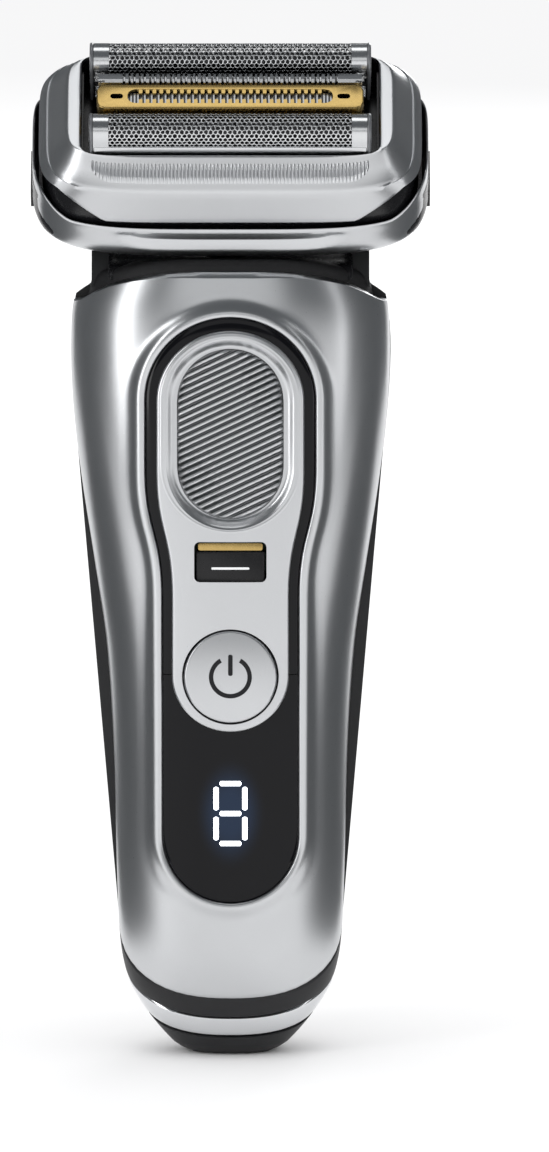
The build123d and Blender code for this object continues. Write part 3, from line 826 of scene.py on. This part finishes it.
def sign_ring(name, radius, stroke, opening, y, z):
    """An open ring of a flat stroke, its gap at the top."""
    form = bmesh.new()
    bmesh.ops.create_grid(form, x_segments=1, y_segments=1, size=0.5)
    for vert in form.verts:
        vert.co = Vector((radius + stroke * vert.co.x, vert.co.y * 0.12, 0)) * MM
    turn = Matrix.Rotation(-(pi / 2 - opening), 3, "Y")
    bmesh.ops.rotate(form, verts=form.verts, matrix=turn)
    geom = [*form.verts, *form.edges, *form.faces]
    bmesh.ops.spin(form, geom=geom, axis=(0, 1, 0), cent=(0, 0, 0), angle=2 * pi - 2 * opening, steps=72)
    bmesh.ops.translate(form, verts=form.verts, vec=Vector((0, y, z)) * MM)
    return settle(name, form, (0, y, z))


ink = Finish("dark_ink", (0.006, 0.006, 0.008), 0.0, 0.4, Specular_IOR_Level=0.3)
ink.set("Roughness", 0.35 + ink.noise(900) * 0.1)
sign = sign_ring("power_sign_ring", 3.15, 0.72, radians(30), BUTTON_FACE - 0.01, BUTTON_Z)
dress(sign, ink, "power_key", "silver_shell")
bar = slab("power_sign_bar", (-0.37, 0.37), (-16.92, -16.8), (BUTTON_Z + 0.2, BUTTON_Z + 3.7), 0.3, 4, 1)
dress(bar, ink, "power_key", "silver_shell")


# Lit digit: seven bars with pointed ends that glow under the lens's clear coat, from the display module.
# DIGIT is the digit's height, its width and the width of a bar.
lit = Finish("lit_digit", (0.9, 0.95, 1.0), 0.0, 0.4, Emission_Strength=2.6)
lit.set("Emission Color", lit.tint(lit.noise(500), (0.78, 0.86, 1.0), (1.0, 1.0, 1.0)))
DIGIT = (10.8, 5.4, 0.82)
BAR_GAP = 0.55


def digit_bar(form, x, z, length, upright):
    """One bar of the digit: a long lozenge on the lens's face."""
    stroke = DIGIT[2] / 2
    outline = [(-length, 0.3 * stroke), (-length + 0.5 * stroke, stroke), (length - 0.5 * stroke, stroke)]
    outline += [(length, 0.3 * stroke), (length, -0.3 * stroke), (length - 0.5 * stroke, -stroke)]
    outline += [(-length + 0.5 * stroke, -stroke), (-length, -0.3 * stroke)]
    corners = []
    for along, beside in outline:
        px, pz = (x + beside, z + along) if upright else (x + along, z + beside)
        corners.append(form.verts.new(Vector(on_front(px, pz, 0.5)) * MM))
    form.faces.new(corners)


form = bmesh.new()
tall, wide, stroke = DIGIT
across = (wide - stroke) / 2
up = (tall - stroke) / 2
for level in (-1, 0, 1):
    digit_bar(form, 0, DIGIT_Z + level * up, across - BAR_GAP, False)
for side in (-1, 1):
    for level in (-1, 1):
        digit_bar(form, side * across, DIGIT_Z + level * up / 2, up / 2 - BAR_GAP, True)
digit = settle("lit_digit_bars", form, (0, 0, DIGIT_Z))
dress(digit, lit, "handle", "digit", "display_segments")


# Deck collar: a kerb of grained black plastic, part of the deck moulding, that stands up inside the
# shells' top edge. Its rows hold an inset from the skin and a lift over the arch.
deck_black = Finish("deck_grain", (0.010, 0.010, 0.011), 0.0, 0.6, Specular_IOR_Level=0.35)
sparks = deck_black.noise(3800, 3.0)
deck_black.set("Roughness", 0.5 + sparks * 0.2)
deck_black.set("Normal", deck_black.bump(sparks, 0.05))
COLLAR_ROWS = [
    (2.05, -1.0), (2.1, 0.3), (2.35, 1.0), (2.9, 1.5), (3.6, 1.75), (6.4, 1.8), (7.0, 1.5), (7.2, -0.4),
]
COLLAR_Z = 126.5


def collar_point(column, row):
    inset, lift = COLLAR_ROWS[row]
    x, y, _ = on_handle(2 * pi * column / BAND_COLUMNS, COLLAR_Z, -inset)
    return x, y, min(arch_height(x), ARCH[3][1]) + lift


collar = sheet("deck_collar", BAND_COLUMNS, len(COLLAR_ROWS) - 1, collar_point, (0, 0, 120))
dress(collar, deck_black, "handle", "deck_grain")


# Neck block: a satin black moulding screwed to the deck between the arms, in two halves with room for the
# lock's bolt between them, and a bridge across the gap behind.
NECK_SIDE = [
    (-9, 128.6), (-7.4, 130.8), (-4.6, 131.5), (-1, 132.9), (3, 134.8), (7.4, 136), (11, 134.6), (12.6, 129),
]
NECK_START = 1.75
NECK_LENGTH = 18.2


def draw_out(form, corners, length):
    """Lays a face on its corners, in millimetres, and draws it out along x into a closed block."""
    face = form.faces.new([form.verts.new(Vector(corner) * MM) for corner in corners])
    side = bmesh.ops.extrude_face_region(form, geom=[face])
    bmesh.ops.translate(form, verts=corners_of(side["geom"]), vec=Vector((length, 0, 0)) * MM)


for side, name in ((-1, "neck_block_left"), (1, "neck_block_right")):
    form = bmesh.new()
    draw_out(form, [(side * NECK_START, y, z) for y, z in NECK_SIDE], side * NECK_LENGTH)
    bmesh.ops.bevel(form, geom=form.edges[:], offset=0.5 * MM, affect="EDGES", segments=3, profile=0.5,
                    material=-1)
    dress(settle(name, form, (side * 10, 2, 131)), satin_black, "handle", "inner_black")

bridge = slab("neck_bridge", (-2.4, 2.4), (9.7, 11.3), (129, 134.3), 0.4, 3, 1)
dress(bridge, satin_black, "handle", "inner_black")


# Head bowl: a satin silver moulding that hangs on the arms' pivot pins, with a bright lip, a shallow scoop in
# front, a black underside and two slots for the arms. The head is laid out in its own frame: x along it, p
# to its rear and q up its normal, tilted at the pivot. BOWL holds q, a half width and a half depth.
PIVOT = (2.0, 141.5)
TILT = radians(40)


def in_head(x, p, q):
    """A point given in the head's frame."""
    return x, PIVOT[0] + p * cos(TILT) - q * sin(TILT), PIVOT[1] + p * sin(TILT) + q * cos(TILT)


HEAD_HEART = in_head(0, 0, 6)
HEAD_COLUMNS = 300
BOWL = [
    (-4, 22.0, 8.0), (-2, 27, 11.5), (1.2, 31, 15), (4, 32.2, 16.25), (7.2, 32.3, 16.3), (9, 32.3, 16.3),
]
BASE_POWER = 4
BASE_ROWS = [(-4, 0.0, 0.0, 0), (-4, 10, 4, 0), (-4, 19, 6.6, 0), (-3.95, 21.0, 7.4, 0)]
BASE_ROWS += [(q, through(BOWL, q, 1), through(BOWL, q, 2), 0) for q in (-3.7 + 0.45 * i for i in range(14))]
BASE_ROWS += [(q, through(BOWL, q, 1), through(BOWL, q, 2), i / 13) for i, q in
              enumerate(2.6 + 0.42 * i for i in range(14))]
BASE_ROWS += [(8.3, 32.26, 16.27, 1), (8.5, 32.2, 16.2, 1), (8.6, 32.1, 16.1, 1), (8.55, 31.95, 15.95, 1),
              (8.3, 31.9, 15.88, 1), (7.0, 31.7, 15.8, 0.8), (4.5, 31.2, 15.2, 0), (1.5, 29.8, 13.8, 0),
              (-2.3, 25.6, 10.2, 0), (-2.5, 12, 4, 0), (-2.5, 0.0, 0.0, 0)]
SCOOP_HALF = 18.9
SCOOP_TOP = 7.5
SCOOP_DEEP = 4.1


def wing_lift(x):
    """How far the bowl's rim climbs towards its two ends."""
    t = max(0.0, min(1.0, (abs(x) - 25.5) / 6.4))
    return 4.6 * t**2 * (1.6 - 0.6 * t)


def base_point(column, row):
    turn = 2 * pi * column / HEAD_COLUMNS
    q, half_width, half_depth, share = BASE_ROWS[row]
    x, p = ring_point(turn, half_width, half_depth, BASE_POWER)
    q += wing_lift(x) * share
    open_half = 1 - (x / SCOOP_HALF) ** 4
    if q > 2 and p < -8 and open_half > 0 and half_depth > 16.0:
        t = (SCOOP_TOP - q) / (SCOOP_DEEP * open_half**0.6)
        if 0 < t < 1:
            p += 1.7 * min(1.0, t * 2.6) * (1 - t) ** 0.9 * min(1.0, open_half * 1.5)
    return in_head(x, p, q)


def head_wedge(name, x):
    """The room an arm sweeps under the head, as a closed block across x."""
    room = 4.6
    reach = 25
    form = bmesh.new()
    edge = (-room * cos(TILT), room * sin(TILT))
    far = (edge[0] - reach * sin(TILT), edge[1] - reach * cos(TILT))
    outline = [(room, -reach), (room, 0)]
    outline += [(room * cos(a), room * sin(a)) for a in (radians(20 * i) for i in range(1, 7))]
    outline += [edge, far, (far[0], -reach)]
    draw_out(form, [in_head(x[0], p, q) for p, q in outline], x[1] - x[0])
    heart = sum((v.co for v in form.verts), Vector()) / len(form.verts)
    return settle(name, form, heart / MM)


bowl = sheet("head_base_bowl", HEAD_COLUMNS, len(BASE_ROWS) - 1, base_point, HEAD_HEART)
carve(bowl, head_wedge("right_slot", (19.1, 23.3)))
carve(bowl, head_wedge("left_slot", (-23.3, -19.1)))
dress(bowl, silver, "head", "head_silver", "head_base")
bowl.data.materials.append(satin_black.material)
BELLY_Q = -0.9
for face in bowl.data.polygons:
    x, y, z = face.center / MM
    p = (y - PIVOT[0]) * cos(TILT) + (z - PIVOT[1]) * sin(TILT)
    q = (z - PIVOT[1]) * cos(TILT) - (y - PIVOT[0]) * sin(TILT)
    lining = abs(x) < 30.6 and abs(p) < 14.6 and q > -3
    lining = lining and (abs(x) / 31.1) ** BASE_POWER + (abs(p) / 15.1) ** BASE_POWER < 1
    face.material_index = 1 if q < BELLY_Q or lining else 0


# Side pads: thin satin black panels, one wrapped round each end of the bowl about its release key.
SIDE_ROWS = 40
SIDE_COLUMNS = 26


def side_panel(side):
    """The rule for the pad at one end of the bowl, with its edges let down into the bowl."""
    def place(column, row):
        q = 0.2 + 9.6 * column / SIDE_COLUMNS
        half_width, half_depth = through(BOWL, q, 1), through(BOWL, q, 2)
        edge = min(31.9, 27.9 + 0.42 * (q - 4.9)) / half_width
        reach = (1 - edge**BASE_POWER) ** (1 / BASE_POWER)
        turn = atan2(reach, edge)
        rise = 0.14 * min(1.0, 4 * (1 - abs(2 * row / SIDE_ROWS - 1)), 8 * column / SIDE_COLUMNS)
        rise -= 0.1
        x, p = ring_point(turn * (2 * row / SIDE_ROWS - 1), half_width + rise, half_depth + rise, BASE_POWER)
        return in_head(side * x, p, q)
    return place


for side, name in ((1, "right_side_pad"), (-1, "left_side_pad")):
    pad = sheet(name, SIDE_COLUMNS, SIDE_ROWS, side_panel(side), HEAD_HEART)
    dress(pad, satin_black, "head", "release_black")


# Cassette frame: the satin silver moulding that clips on to the bowl and holds the shaving elements. It has a
# lower face, a crease, an upper face and a flat rim round the opening, and its lower edge climbs at the
# ends over a black skirt. A black liner closes the opening's walls. Rows hold q, half sizes and a power.
FRAME_ROWS = [
    (10.8, 29.8, 14.2, 5), (9.5, 30.2, 14.6, 5), (9.35, 30.6, 15.0, 5), (9.4, 31.0, 15.4, 5),
    (9.55, 31.15, 15.6, 5), (9.9, 31.2, 15.68, 5), (11, 31.05, 15.66, 5), (13, 30.75, 15.6, 5),
    (15, 30.35, 15.55, 5), (16.3, 30.0, 15.5, 5), (16.65, 29.85, 15.42, 5), (16.9, 29.7, 15.25, 5),
    (17.2, 29.5, 15.0, 5), (18.0, 28.93, 14.3, 5), (19.0, 28.21, 13.5, 5.3), (20.0, 27.5, 12.65, 5.7),
    (20.6, 27.05, 12.12, 6), (20.9, 26.8, 11.86, 6.2), (21.05, 26.55, 11.74, 6.4), (21.1, 26.2, 11.66, 7),
    (21.1, 25.2, 11.5, 9), (21.1, 24.6, 11.36, 12), (21.0, 24.35, 11.25, 16), (20.8, 24.25, 11.2, 18),
    (20.3, 24.2, 11.18, 18),
]
CREASE_ROW = 10
CREASE_Q = 16.9
CLIMB_START = 20.5


def frame_point(column, row):
    turn = 2 * pi * column / HEAD_COLUMNS
    q, half_width, half_depth, power = FRAME_ROWS[row]
    x, p = ring_point(turn, half_width, half_depth, power)
    if row < CREASE_ROW:
        climb = max(0.0, abs(x) - CLIMB_START)
        lift = min(0.78 * climb - 0.6 * max(0.0, climb - 8), 6.0)
        q += lift * max(0.0, (CREASE_Q - q) / 7.5)
    return in_head(x, p, q)


cassette = sheet("cassette_frame_skin", HEAD_COLUMNS, len(FRAME_ROWS) - 1, frame_point, HEAD_HEART)
dress(cassette, silver, "cassette", "head_silver", "cassette_frame")

SKIRT_ROWS = [
    (7.9, 29.0, 13.2), (7.9, 30.5, 14.7), (9, 30.7, 15.0), (12.5, 30.3, 15.0), (15.5, 29.7, 14.8),
    (16, 28.4, 14),
]
LINER_ROWS = [(20.4, 24.21, 11.19), (20.2, 24.17, 11.15), (15.2, 24.17, 11.15), (15.1, 0.0, 0.0)]


def head_loops(rows, power):
    """The rule for closed loops round the head, one for each row of q and half sizes."""
    def place(column, row):
        q, half_width, half_depth = rows[row]
        x, p = ring_point(2 * pi * column / HEAD_COLUMNS, half_width, half_depth, power)
        return in_head(x, p, q)
    return place


skirt = sheet("cassette_skirt", HEAD_COLUMNS, len(SKIRT_ROWS) - 1, head_loops(SKIRT_ROWS, 5), HEAD_HEART)
dress(skirt, satin_black, "cassette", "inner_black")
liner = sheet("cassette_liner", HEAD_COLUMNS, len(LINER_ROWS) - 1, head_loops(LINER_ROWS, 18),
              in_head(0, 0, 40))
dress(liner, satin_black, "cassette", "inner_black")


# Rib band: fine upright ribs moulded along the front of the cassette's upper face, in the same silver.
RIBS = 76
RIB_STEPS = 6
BAND_HALF = 22.6
BAND_ROWS = 6


def band_point(column, row):
    """The fine upright ribs along the upper face, with rounded lower corners."""
    x = -BAND_HALF + 2 * BAND_HALF * column / (RIBS * RIB_STEPS)
    wave = 0.5 - 0.5 * cos(2 * pi * column / RIB_STEPS)
    corner = max(0.0, abs(x) - (BAND_HALF - 3.4)) / 3.4
    low = 17.75 + 1.9 * (1 - (1 - corner**2) ** 0.5)
    q = low + (20.3 - low) * (row / BAND_ROWS)
    half_width, half_depth = 26.8 + (20.9 - q) * 0.714, 11.86 + (20.9 - q) * 0.848
    depth = half_depth * (1 - (abs(x) / half_width) ** 5.5) ** (1 / 5.5)
    rise = 0.26 * wave * (0 if row in (0, BAND_ROWS) else 1)
    return in_head(x, -depth - rise * 0.76 + 0.02, q + rise * 0.65)


band = sheet("cassette_rib_band", RIBS * RIB_STEPS, BAND_ROWS, band_point, HEAD_HEART)
dress(band, silver, "cassette", "head_silver")


# Foils: thin steel sheet pierced with small holes and bent to an arch, front and rear. Plain margins and two
# bright rails hold each sheet in a smoke-grey frame, which floats in the cassette.
# FOIL_P, FOIL_Q and FOIL_R are the arch's middle and radius.
steel = Finish("foil_steel", (0.66, 0.67, 0.68), 1.0, 0.2)
steel.set("Roughness", 0.16 + steel.noise(1800) * 0.1)
smoke = Finish("smoke_frame", (0.14, 0.145, 0.155), 0.4, 0.2, Coat_Weight=0.6)
smoke.set("Roughness", 0.18 + smoke.noise(900) * 0.1)
FOIL_P = 7.9
FOIL_R = 2.7
FOIL_Q = 23.4
HOLE_PITCH = 0.78
HOLE_COLUMNS = 51
HOLE_ROWS = 16
FOIL_HALF = 22.2
FOIL_END = 22.95


def copy_over(form, geom, way):
    """Copies a part of a form and moves the copy."""
    copy = bmesh.ops.duplicate(form, geom=geom)["geom"]
    bmesh.ops.translate(form, verts=corners_of(copy), vec=way)


def foil_sheet(name, p, body, node):
    """A flat field of pierced six-sided cells, wrapped over the arch."""
    form = bmesh.new()
    radius = HOLE_PITCH / 3**0.5
    bmesh.ops.create_circle(form, cap_ends=True, radius=radius, segments=6)
    bmesh.ops.inset_individual(form, faces=form.faces[:], thickness=0.105)
    centre = [f for f in form.faces if len(f.verts) == 6]
    bmesh.ops.delete(form, geom=centre, context="FACES_ONLY")
    cell = [*form.verts, *form.edges, *form.faces]
    row_step = HOLE_PITCH * 3**0.5 / 2
    for row in range(HOLE_ROWS):
        for column in range(HOLE_COLUMNS + row % 2):
            shift = (column - (HOLE_COLUMNS - 1) / 2 - 0.5 * (row % 2)) * HOLE_PITCH
            copy_over(form, cell, (shift, (row - (HOLE_ROWS - 1) / 2) * row_step, 0))
    bmesh.ops.delete(form, geom=corners_of(cell), context="VERTS")
    bmesh.ops.remove_doubles(form, verts=form.verts, dist=0.03)
    for vert in form.verts:
        x, across = vert.co.x, vert.co.y
        x += 0.07 * sin(5.1 * x + 3.7 * across) * cos(1.9 * across)
        across += 0.06 * sin(4.3 * across - 2.9 * x)
        a = max(-pi / 2, min(pi / 2, across / FOIL_R))
        wall = abs(across) - abs(a) * FOIL_R
        vert.co = Vector(in_head(x, p + FOIL_R * sin(a), FOIL_Q + FOIL_R * cos(a) - wall)) * MM
    piece = settle(name, form, in_head(0, p, FOIL_Q - 2))
    thick = piece.modifiers.new("thickness", "SOLIDIFY")
    thick.thickness = 0.1 * MM
    thick.offset = -1
    return dress(piece, steel, body, "steel", node)


def arch_rows(p, rise, low):
    """Points over the arch from the front foot to the rear foot."""
    rows = [(p - FOIL_R - rise, low)]
    for i in range(25):
        a = pi * (i / 24 - 0.5)
        rows.append((p + (FOIL_R + rise) * sin(a), FOIL_Q + (FOIL_R + rise) * cos(a)))
    return rows + [(p + FOIL_R + rise, low)]


def foil_ends(name, p, body, node):
    """The two end walls of the foil's frame, with rounded rims."""
    form = bmesh.new()
    rows = arch_rows(p, 0.12, 16.9)
    for start in (-FOIL_END, FOIL_HALF):
        draw_out(form, [in_head(start, *r) for r in rows], FOIL_END - FOIL_HALF)
        edges = {e for v in form.verts for e in v.link_edges if len(e.link_faces) == 2}
        rims = [e for e in edges if max(len(f.verts) for f in e.link_faces) > 10]
        bmesh.ops.bevel(form, geom=rims, offset=0.34 * MM, affect="EDGES", segments=3, profile=0.5,
                        material=-1)
    ends = settle(name, form, in_head(0, p, 20))
    dress(ends, smoke, body, "foil_frame", node)


def foil_margin(name, p, x, body):
    """The plain strip of sheet beside the holes, at one end of the foil."""
    rows = arch_rows(p, 0.03, 20.6)
    piece = sheet(name, 4, len(rows) - 1, lambda c, r: in_head(x[0] + (x[1] - x[0]) * c / 4, *rows[r]),
                  in_head(0, p, 20))
    dress(piece, steel, body, "steel")


def foil_rail(name, p, side, body):
    """The bright rail along one long side of the foil."""
    p_low, p_high = sorted((p + side * (FOIL_R + 0.12), p + side * (FOIL_R - 0.5)))
    form = bmesh.new()
    bmesh.ops.create_cube(form, size=1)
    for vert in form.verts:
        x = -FOIL_HALF if vert.co.x < 0 else FOIL_HALF
        deep = p_low if vert.co.y < 0 else p_high
        vert.co = Vector((x, deep, 17.2 if vert.co.z < 0 else 22.25))
    bmesh.ops.bevel(form, geom=form.edges[:], offset=0.16, affect="EDGES", segments=3, profile=0.5,
                    material=-1)
    for vert in form.verts:
        vert.co = Vector(in_head(*vert.co)) * MM
    dress(settle(name, form, in_head(0, (p_low + p_high) / 2, 19)), steel, body, "steel")


for where, p in (("front", -FOIL_P), ("rear", FOIL_P)):
    float_body = where + "_float"
    foil_sheet(where + "_foil_pierced", p, float_body, where + "_foil")
    foil_ends(where + "_foil_ends", p, float_body, where + "_foil_frame")
    foil_margin(where + "_foil_margin_left", p, (-22.25, -19.75), float_body)
    foil_margin(where + "_foil_margin_right", p, (19.75, 22.25), float_body)
    foil_rail(where + "_foil_front_rail", p, -1, float_body)
    foil_rail(where + "_foil_rear_rail", p, 1, float_body)


# Skin guard: a gold-coated steel cap over its slotted blade, with broken corners, an oval hole at each end
# and a long slot. Two rows of blunt teeth reach into the slot. Each block is given along x, p and q.
guard = slab("skin_guard_plate", (-21.7, 21.7), (-4.6, 0.7), (17.0, 25.2), 1.3, 2, 2, 0.22, in_head)
carve(guard, slab("guard_hollow", (-20.6, 20.6), (-3.9, 0.0), (16, 24.72), 0, 0, 2, 0, in_head))
carve(guard, slab("guard_slot", (-16.7, 16.7), (-3.5, -0.4), (24, 26), 1.4, 6, 2, 0, in_head))
carve(guard, slab("guard_right_eye", (17.4, 19.5), (-2.5, -1.4), (24, 26), 0.54, 6, 2, 0, in_head))
carve(guard, slab("guard_left_eye", (-19.5, -17.4), (-2.5, -1.4), (24, 26), 0.54, 6, 2, 0, in_head))
dress(guard, gold, "skin_float", "gold", "skin_guard")

TEETH = 27
TOOTH_PITCH = 1.12
TOOTH_HALF = 0.3
TOOTH_Q = (24.76, 25.16)


def guard_teeth(name, p):
    """A row of blunt teeth that stand across the slot."""
    form = bmesh.new()
    bmesh.ops.create_cube(form, size=1)
    tips = [e for e in form.edges if abs((e.verts[0].co - e.verts[1].co).z) > 0.5]
    bmesh.ops.bevel(form, geom=tips, offset=0.22, affect="EDGES", segments=2, profile=0.5, material=-1)
    first = [*form.verts, *form.edges, *form.faces]
    for i in range(1, TEETH):
        copy_over(form, first, (i * TOOTH_PITCH / (2 * TOOTH_HALF), 0, 0))
    start = -(TEETH - 1) / 2 * TOOTH_PITCH
    low, high = TOOTH_Q
    for vert in form.verts:
        x = start + vert.co.x * 2 * TOOTH_HALF
        across = p[0] + (vert.co.y + 0.5) * (p[1] - p[0])
        vert.co = Vector(in_head(x, across, low + (vert.co.z + 0.5) * (high - low))) * MM
    dress(as_piece(name, form), gold, "skin_float", "gold")


guard_teeth("skin_guard_upper_teeth", (-1.3, -0.3))
guard_teeth("skin_guard_lower_teeth", (-3.6, -2.6))


# Lift trimmer guard: thin steel hoops in a row over their blade, spot-welded to a long-walled trough between
# two plain ends with caps. It floats behind the skin guard.
HOOP_P = 2.2
HOOP_Q = (23.3, 24.5)
HOOP_OUT, HOOP_IN = 1.1, 0.78
HOOP_PITCH = 0.84
HOOP_HALVES = (0.24, 0.16)  # a wide hoop and a narrow one by turns
HOOPS_EACH_WAY = 20


def hoops(name, places):
    """Hoops bent over the lift blade, each given by its two ends along x."""
    foot, spring = HOOP_Q
    bend = [radians(30 * i) for i in range(-2, 3)]
    side = [(-HOOP_OUT, foot), (-HOOP_OUT, spring)]
    side += [(HOOP_OUT * sin(a), spring + HOOP_OUT * cos(a)) for a in bend]
    side += [(HOOP_OUT, spring), (HOOP_OUT, foot), (HOOP_IN, foot), (HOOP_IN, spring)]
    side += [(HOOP_IN * sin(a), spring + HOOP_IN * cos(a)) for a in reversed(bend)]
    side += [(-HOOP_IN, spring), (-HOOP_IN, foot)]
    form = bmesh.new()
    for low, high in places:
        draw_out(form, [in_head(low, HOOP_P + p, q) for p, q in side], high - low)
    bmesh.ops.recalc_face_normals(form, faces=form.faces)
    dress(as_piece(name, form), steel, "lift_float", "steel")


hoop_row = []
for i in range(-HOOPS_EACH_WAY, HOOPS_EACH_WAY + 1):
    half = HOOP_HALVES[i % 2]
    hoop_row.append((HOOP_PITCH * i - half, HOOP_PITCH * i + half))
hoops("lift_trimmer_hoops", hoop_row)
hoops("lift_trimmer_ends", [(-21.4, -17.5), (17.5, 21.4)])
wall = slab("lift_trimmer_wall", (-21.4, 21.4), (1.1, 3.3), (17.0, 23.4), 0.5, 3, 2, 0, in_head)
carve(wall, slab("lift_hollow", (-20.8, 20.8), (1.44, 2.96), (16, 26), 0, 0, 2, 0, in_head))
dress(wall, steel, "lift_float", "steel", "lift_guard")
for name, x in (("lift_trimmer_caps", (-21.45, -20.95)), ("lift_trimmer_cap_right", (20.95, 21.45))):
    end = slab(name, x, (1.2, 3.2), (22.0, 25.3), 0.3, 3, 2, 0.1, in_head)
    dress(end, steel, "lift_float", "steel")


# The remaining pieces keep their shapes and take finishes of their own: nylon arms and links, ground steel
# pins, screws and trimmer parts, sintered bronze bushes, the wrapped cell, the board and the motor's core.
ground = Finish("ground_steel", (0.60, 0.61, 0.62), 1.0, 0.25)
ground.set("Roughness", 0.2 + ground.noise(900, 3.0, (1, 8, 8)) * 0.16)
nylon = Finish("arm_nylon", (0.016, 0.017, 0.018), 0.0, 0.4, Specular_IOR_Level=0.4)
nylon.set("Roughness", 0.33 + nylon.noise(2600) * 0.16)
bronze = Finish("sintered_bronze", (0.42, 0.27, 0.13), 1.0, 0.4)
bronze.set("Roughness", 0.34 + bronze.noise(3000) * 0.16)
sleeve = Finish("cell_sleeve", (0.06, 0.16, 0.3), 0.0, 0.35)
sleeve.set("Roughness", 0.3 + sleeve.noise(500) * 0.1)
mask = Finish("solder_mask", (0.015, 0.09, 0.045), 0.0, 0.35)
mask.set("Base Color", mask.tint(mask.noise(700), (0.012, 0.075, 0.035), (0.02, 0.11, 0.055)))
core = Finish("motor_core", (0.2, 0.2, 0.21), 0.8, 0.4)
core.set("Roughness", 0.35 + core.noise(800, 2.0, (1, 1, 12)) * 0.2)
seal = Finish("seal_rubber", (0.012, 0.012, 0.013), 0.0, 0.6)
seal.set("Roughness", 0.55 + seal.noise(1200) * 0.15)

blade_steel = Finish("slotted_blade", (0.3, 0.3, 0.31), 1.0, 0.3)
# Painted shade: near-black, non-metallic stripes between the bright teeth stand in for the dark seen through
# the blade's slits.
along, _, _ = blade_steel.split(blade_steel.place())
comb = blade_steel.add("Math", {"operation": "SINE"}, {0: along * (2 * pi / (0.56 * MM))})
painted_slit_shade = blade_steel.add("MapRange", {}, {"Value": comb, "From Min": -0.2, "From Max": 0.5})
blade_steel.set("Base Color", blade_steel.tint(painted_slit_shade, (0.006, 0.006, 0.007), (0.42, 0.43, 0.44)))
blade_steel.set("Metallic", painted_slit_shade)

cutter_steel = Finish("cutter_steel", (0.05, 0.05, 0.052), 1.0, 0.35)
cutter_steel.set("Roughness", 0.3 + cutter_steel.noise(900, 2.0) * 0.1)

KEPT = {
    cutter_steel: ["front_cutter", "rear_cutter"],
    blade_steel: ["skin_blade", "lift_blade"],
    deck_black: ["top_deck"],
    nylon: ["lock_sector", "left_arm", "right_arm", "head_chassis", "inner_chassis", "lock_link",
            "display_module"],
    seal: ["parting_seal"],
    satin_black: ["cassette_carrier", "drive_deck", "charging_socket", "trimmer_slide", "right_release",
                  "left_release"],
    soft_black: ["trimmer_housing"],
    ground: ["pivot_pins", "deck_screws", "socket_pins", "battery_contacts", "trimmer_comb",
             "trimmer_blade"],
    bronze: ["pivot_bushes"],
    sleeve: ["battery_cell"],
    mask: ["main_board", "tact_switch"],
    core: ["motor_stator", "front_armature", "rear_armature"],
}
for finish, names in KEPT.items():
    for name in names:
        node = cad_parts[name]
        node.data.materials.clear()
        node.data.materials.append(finish.material)
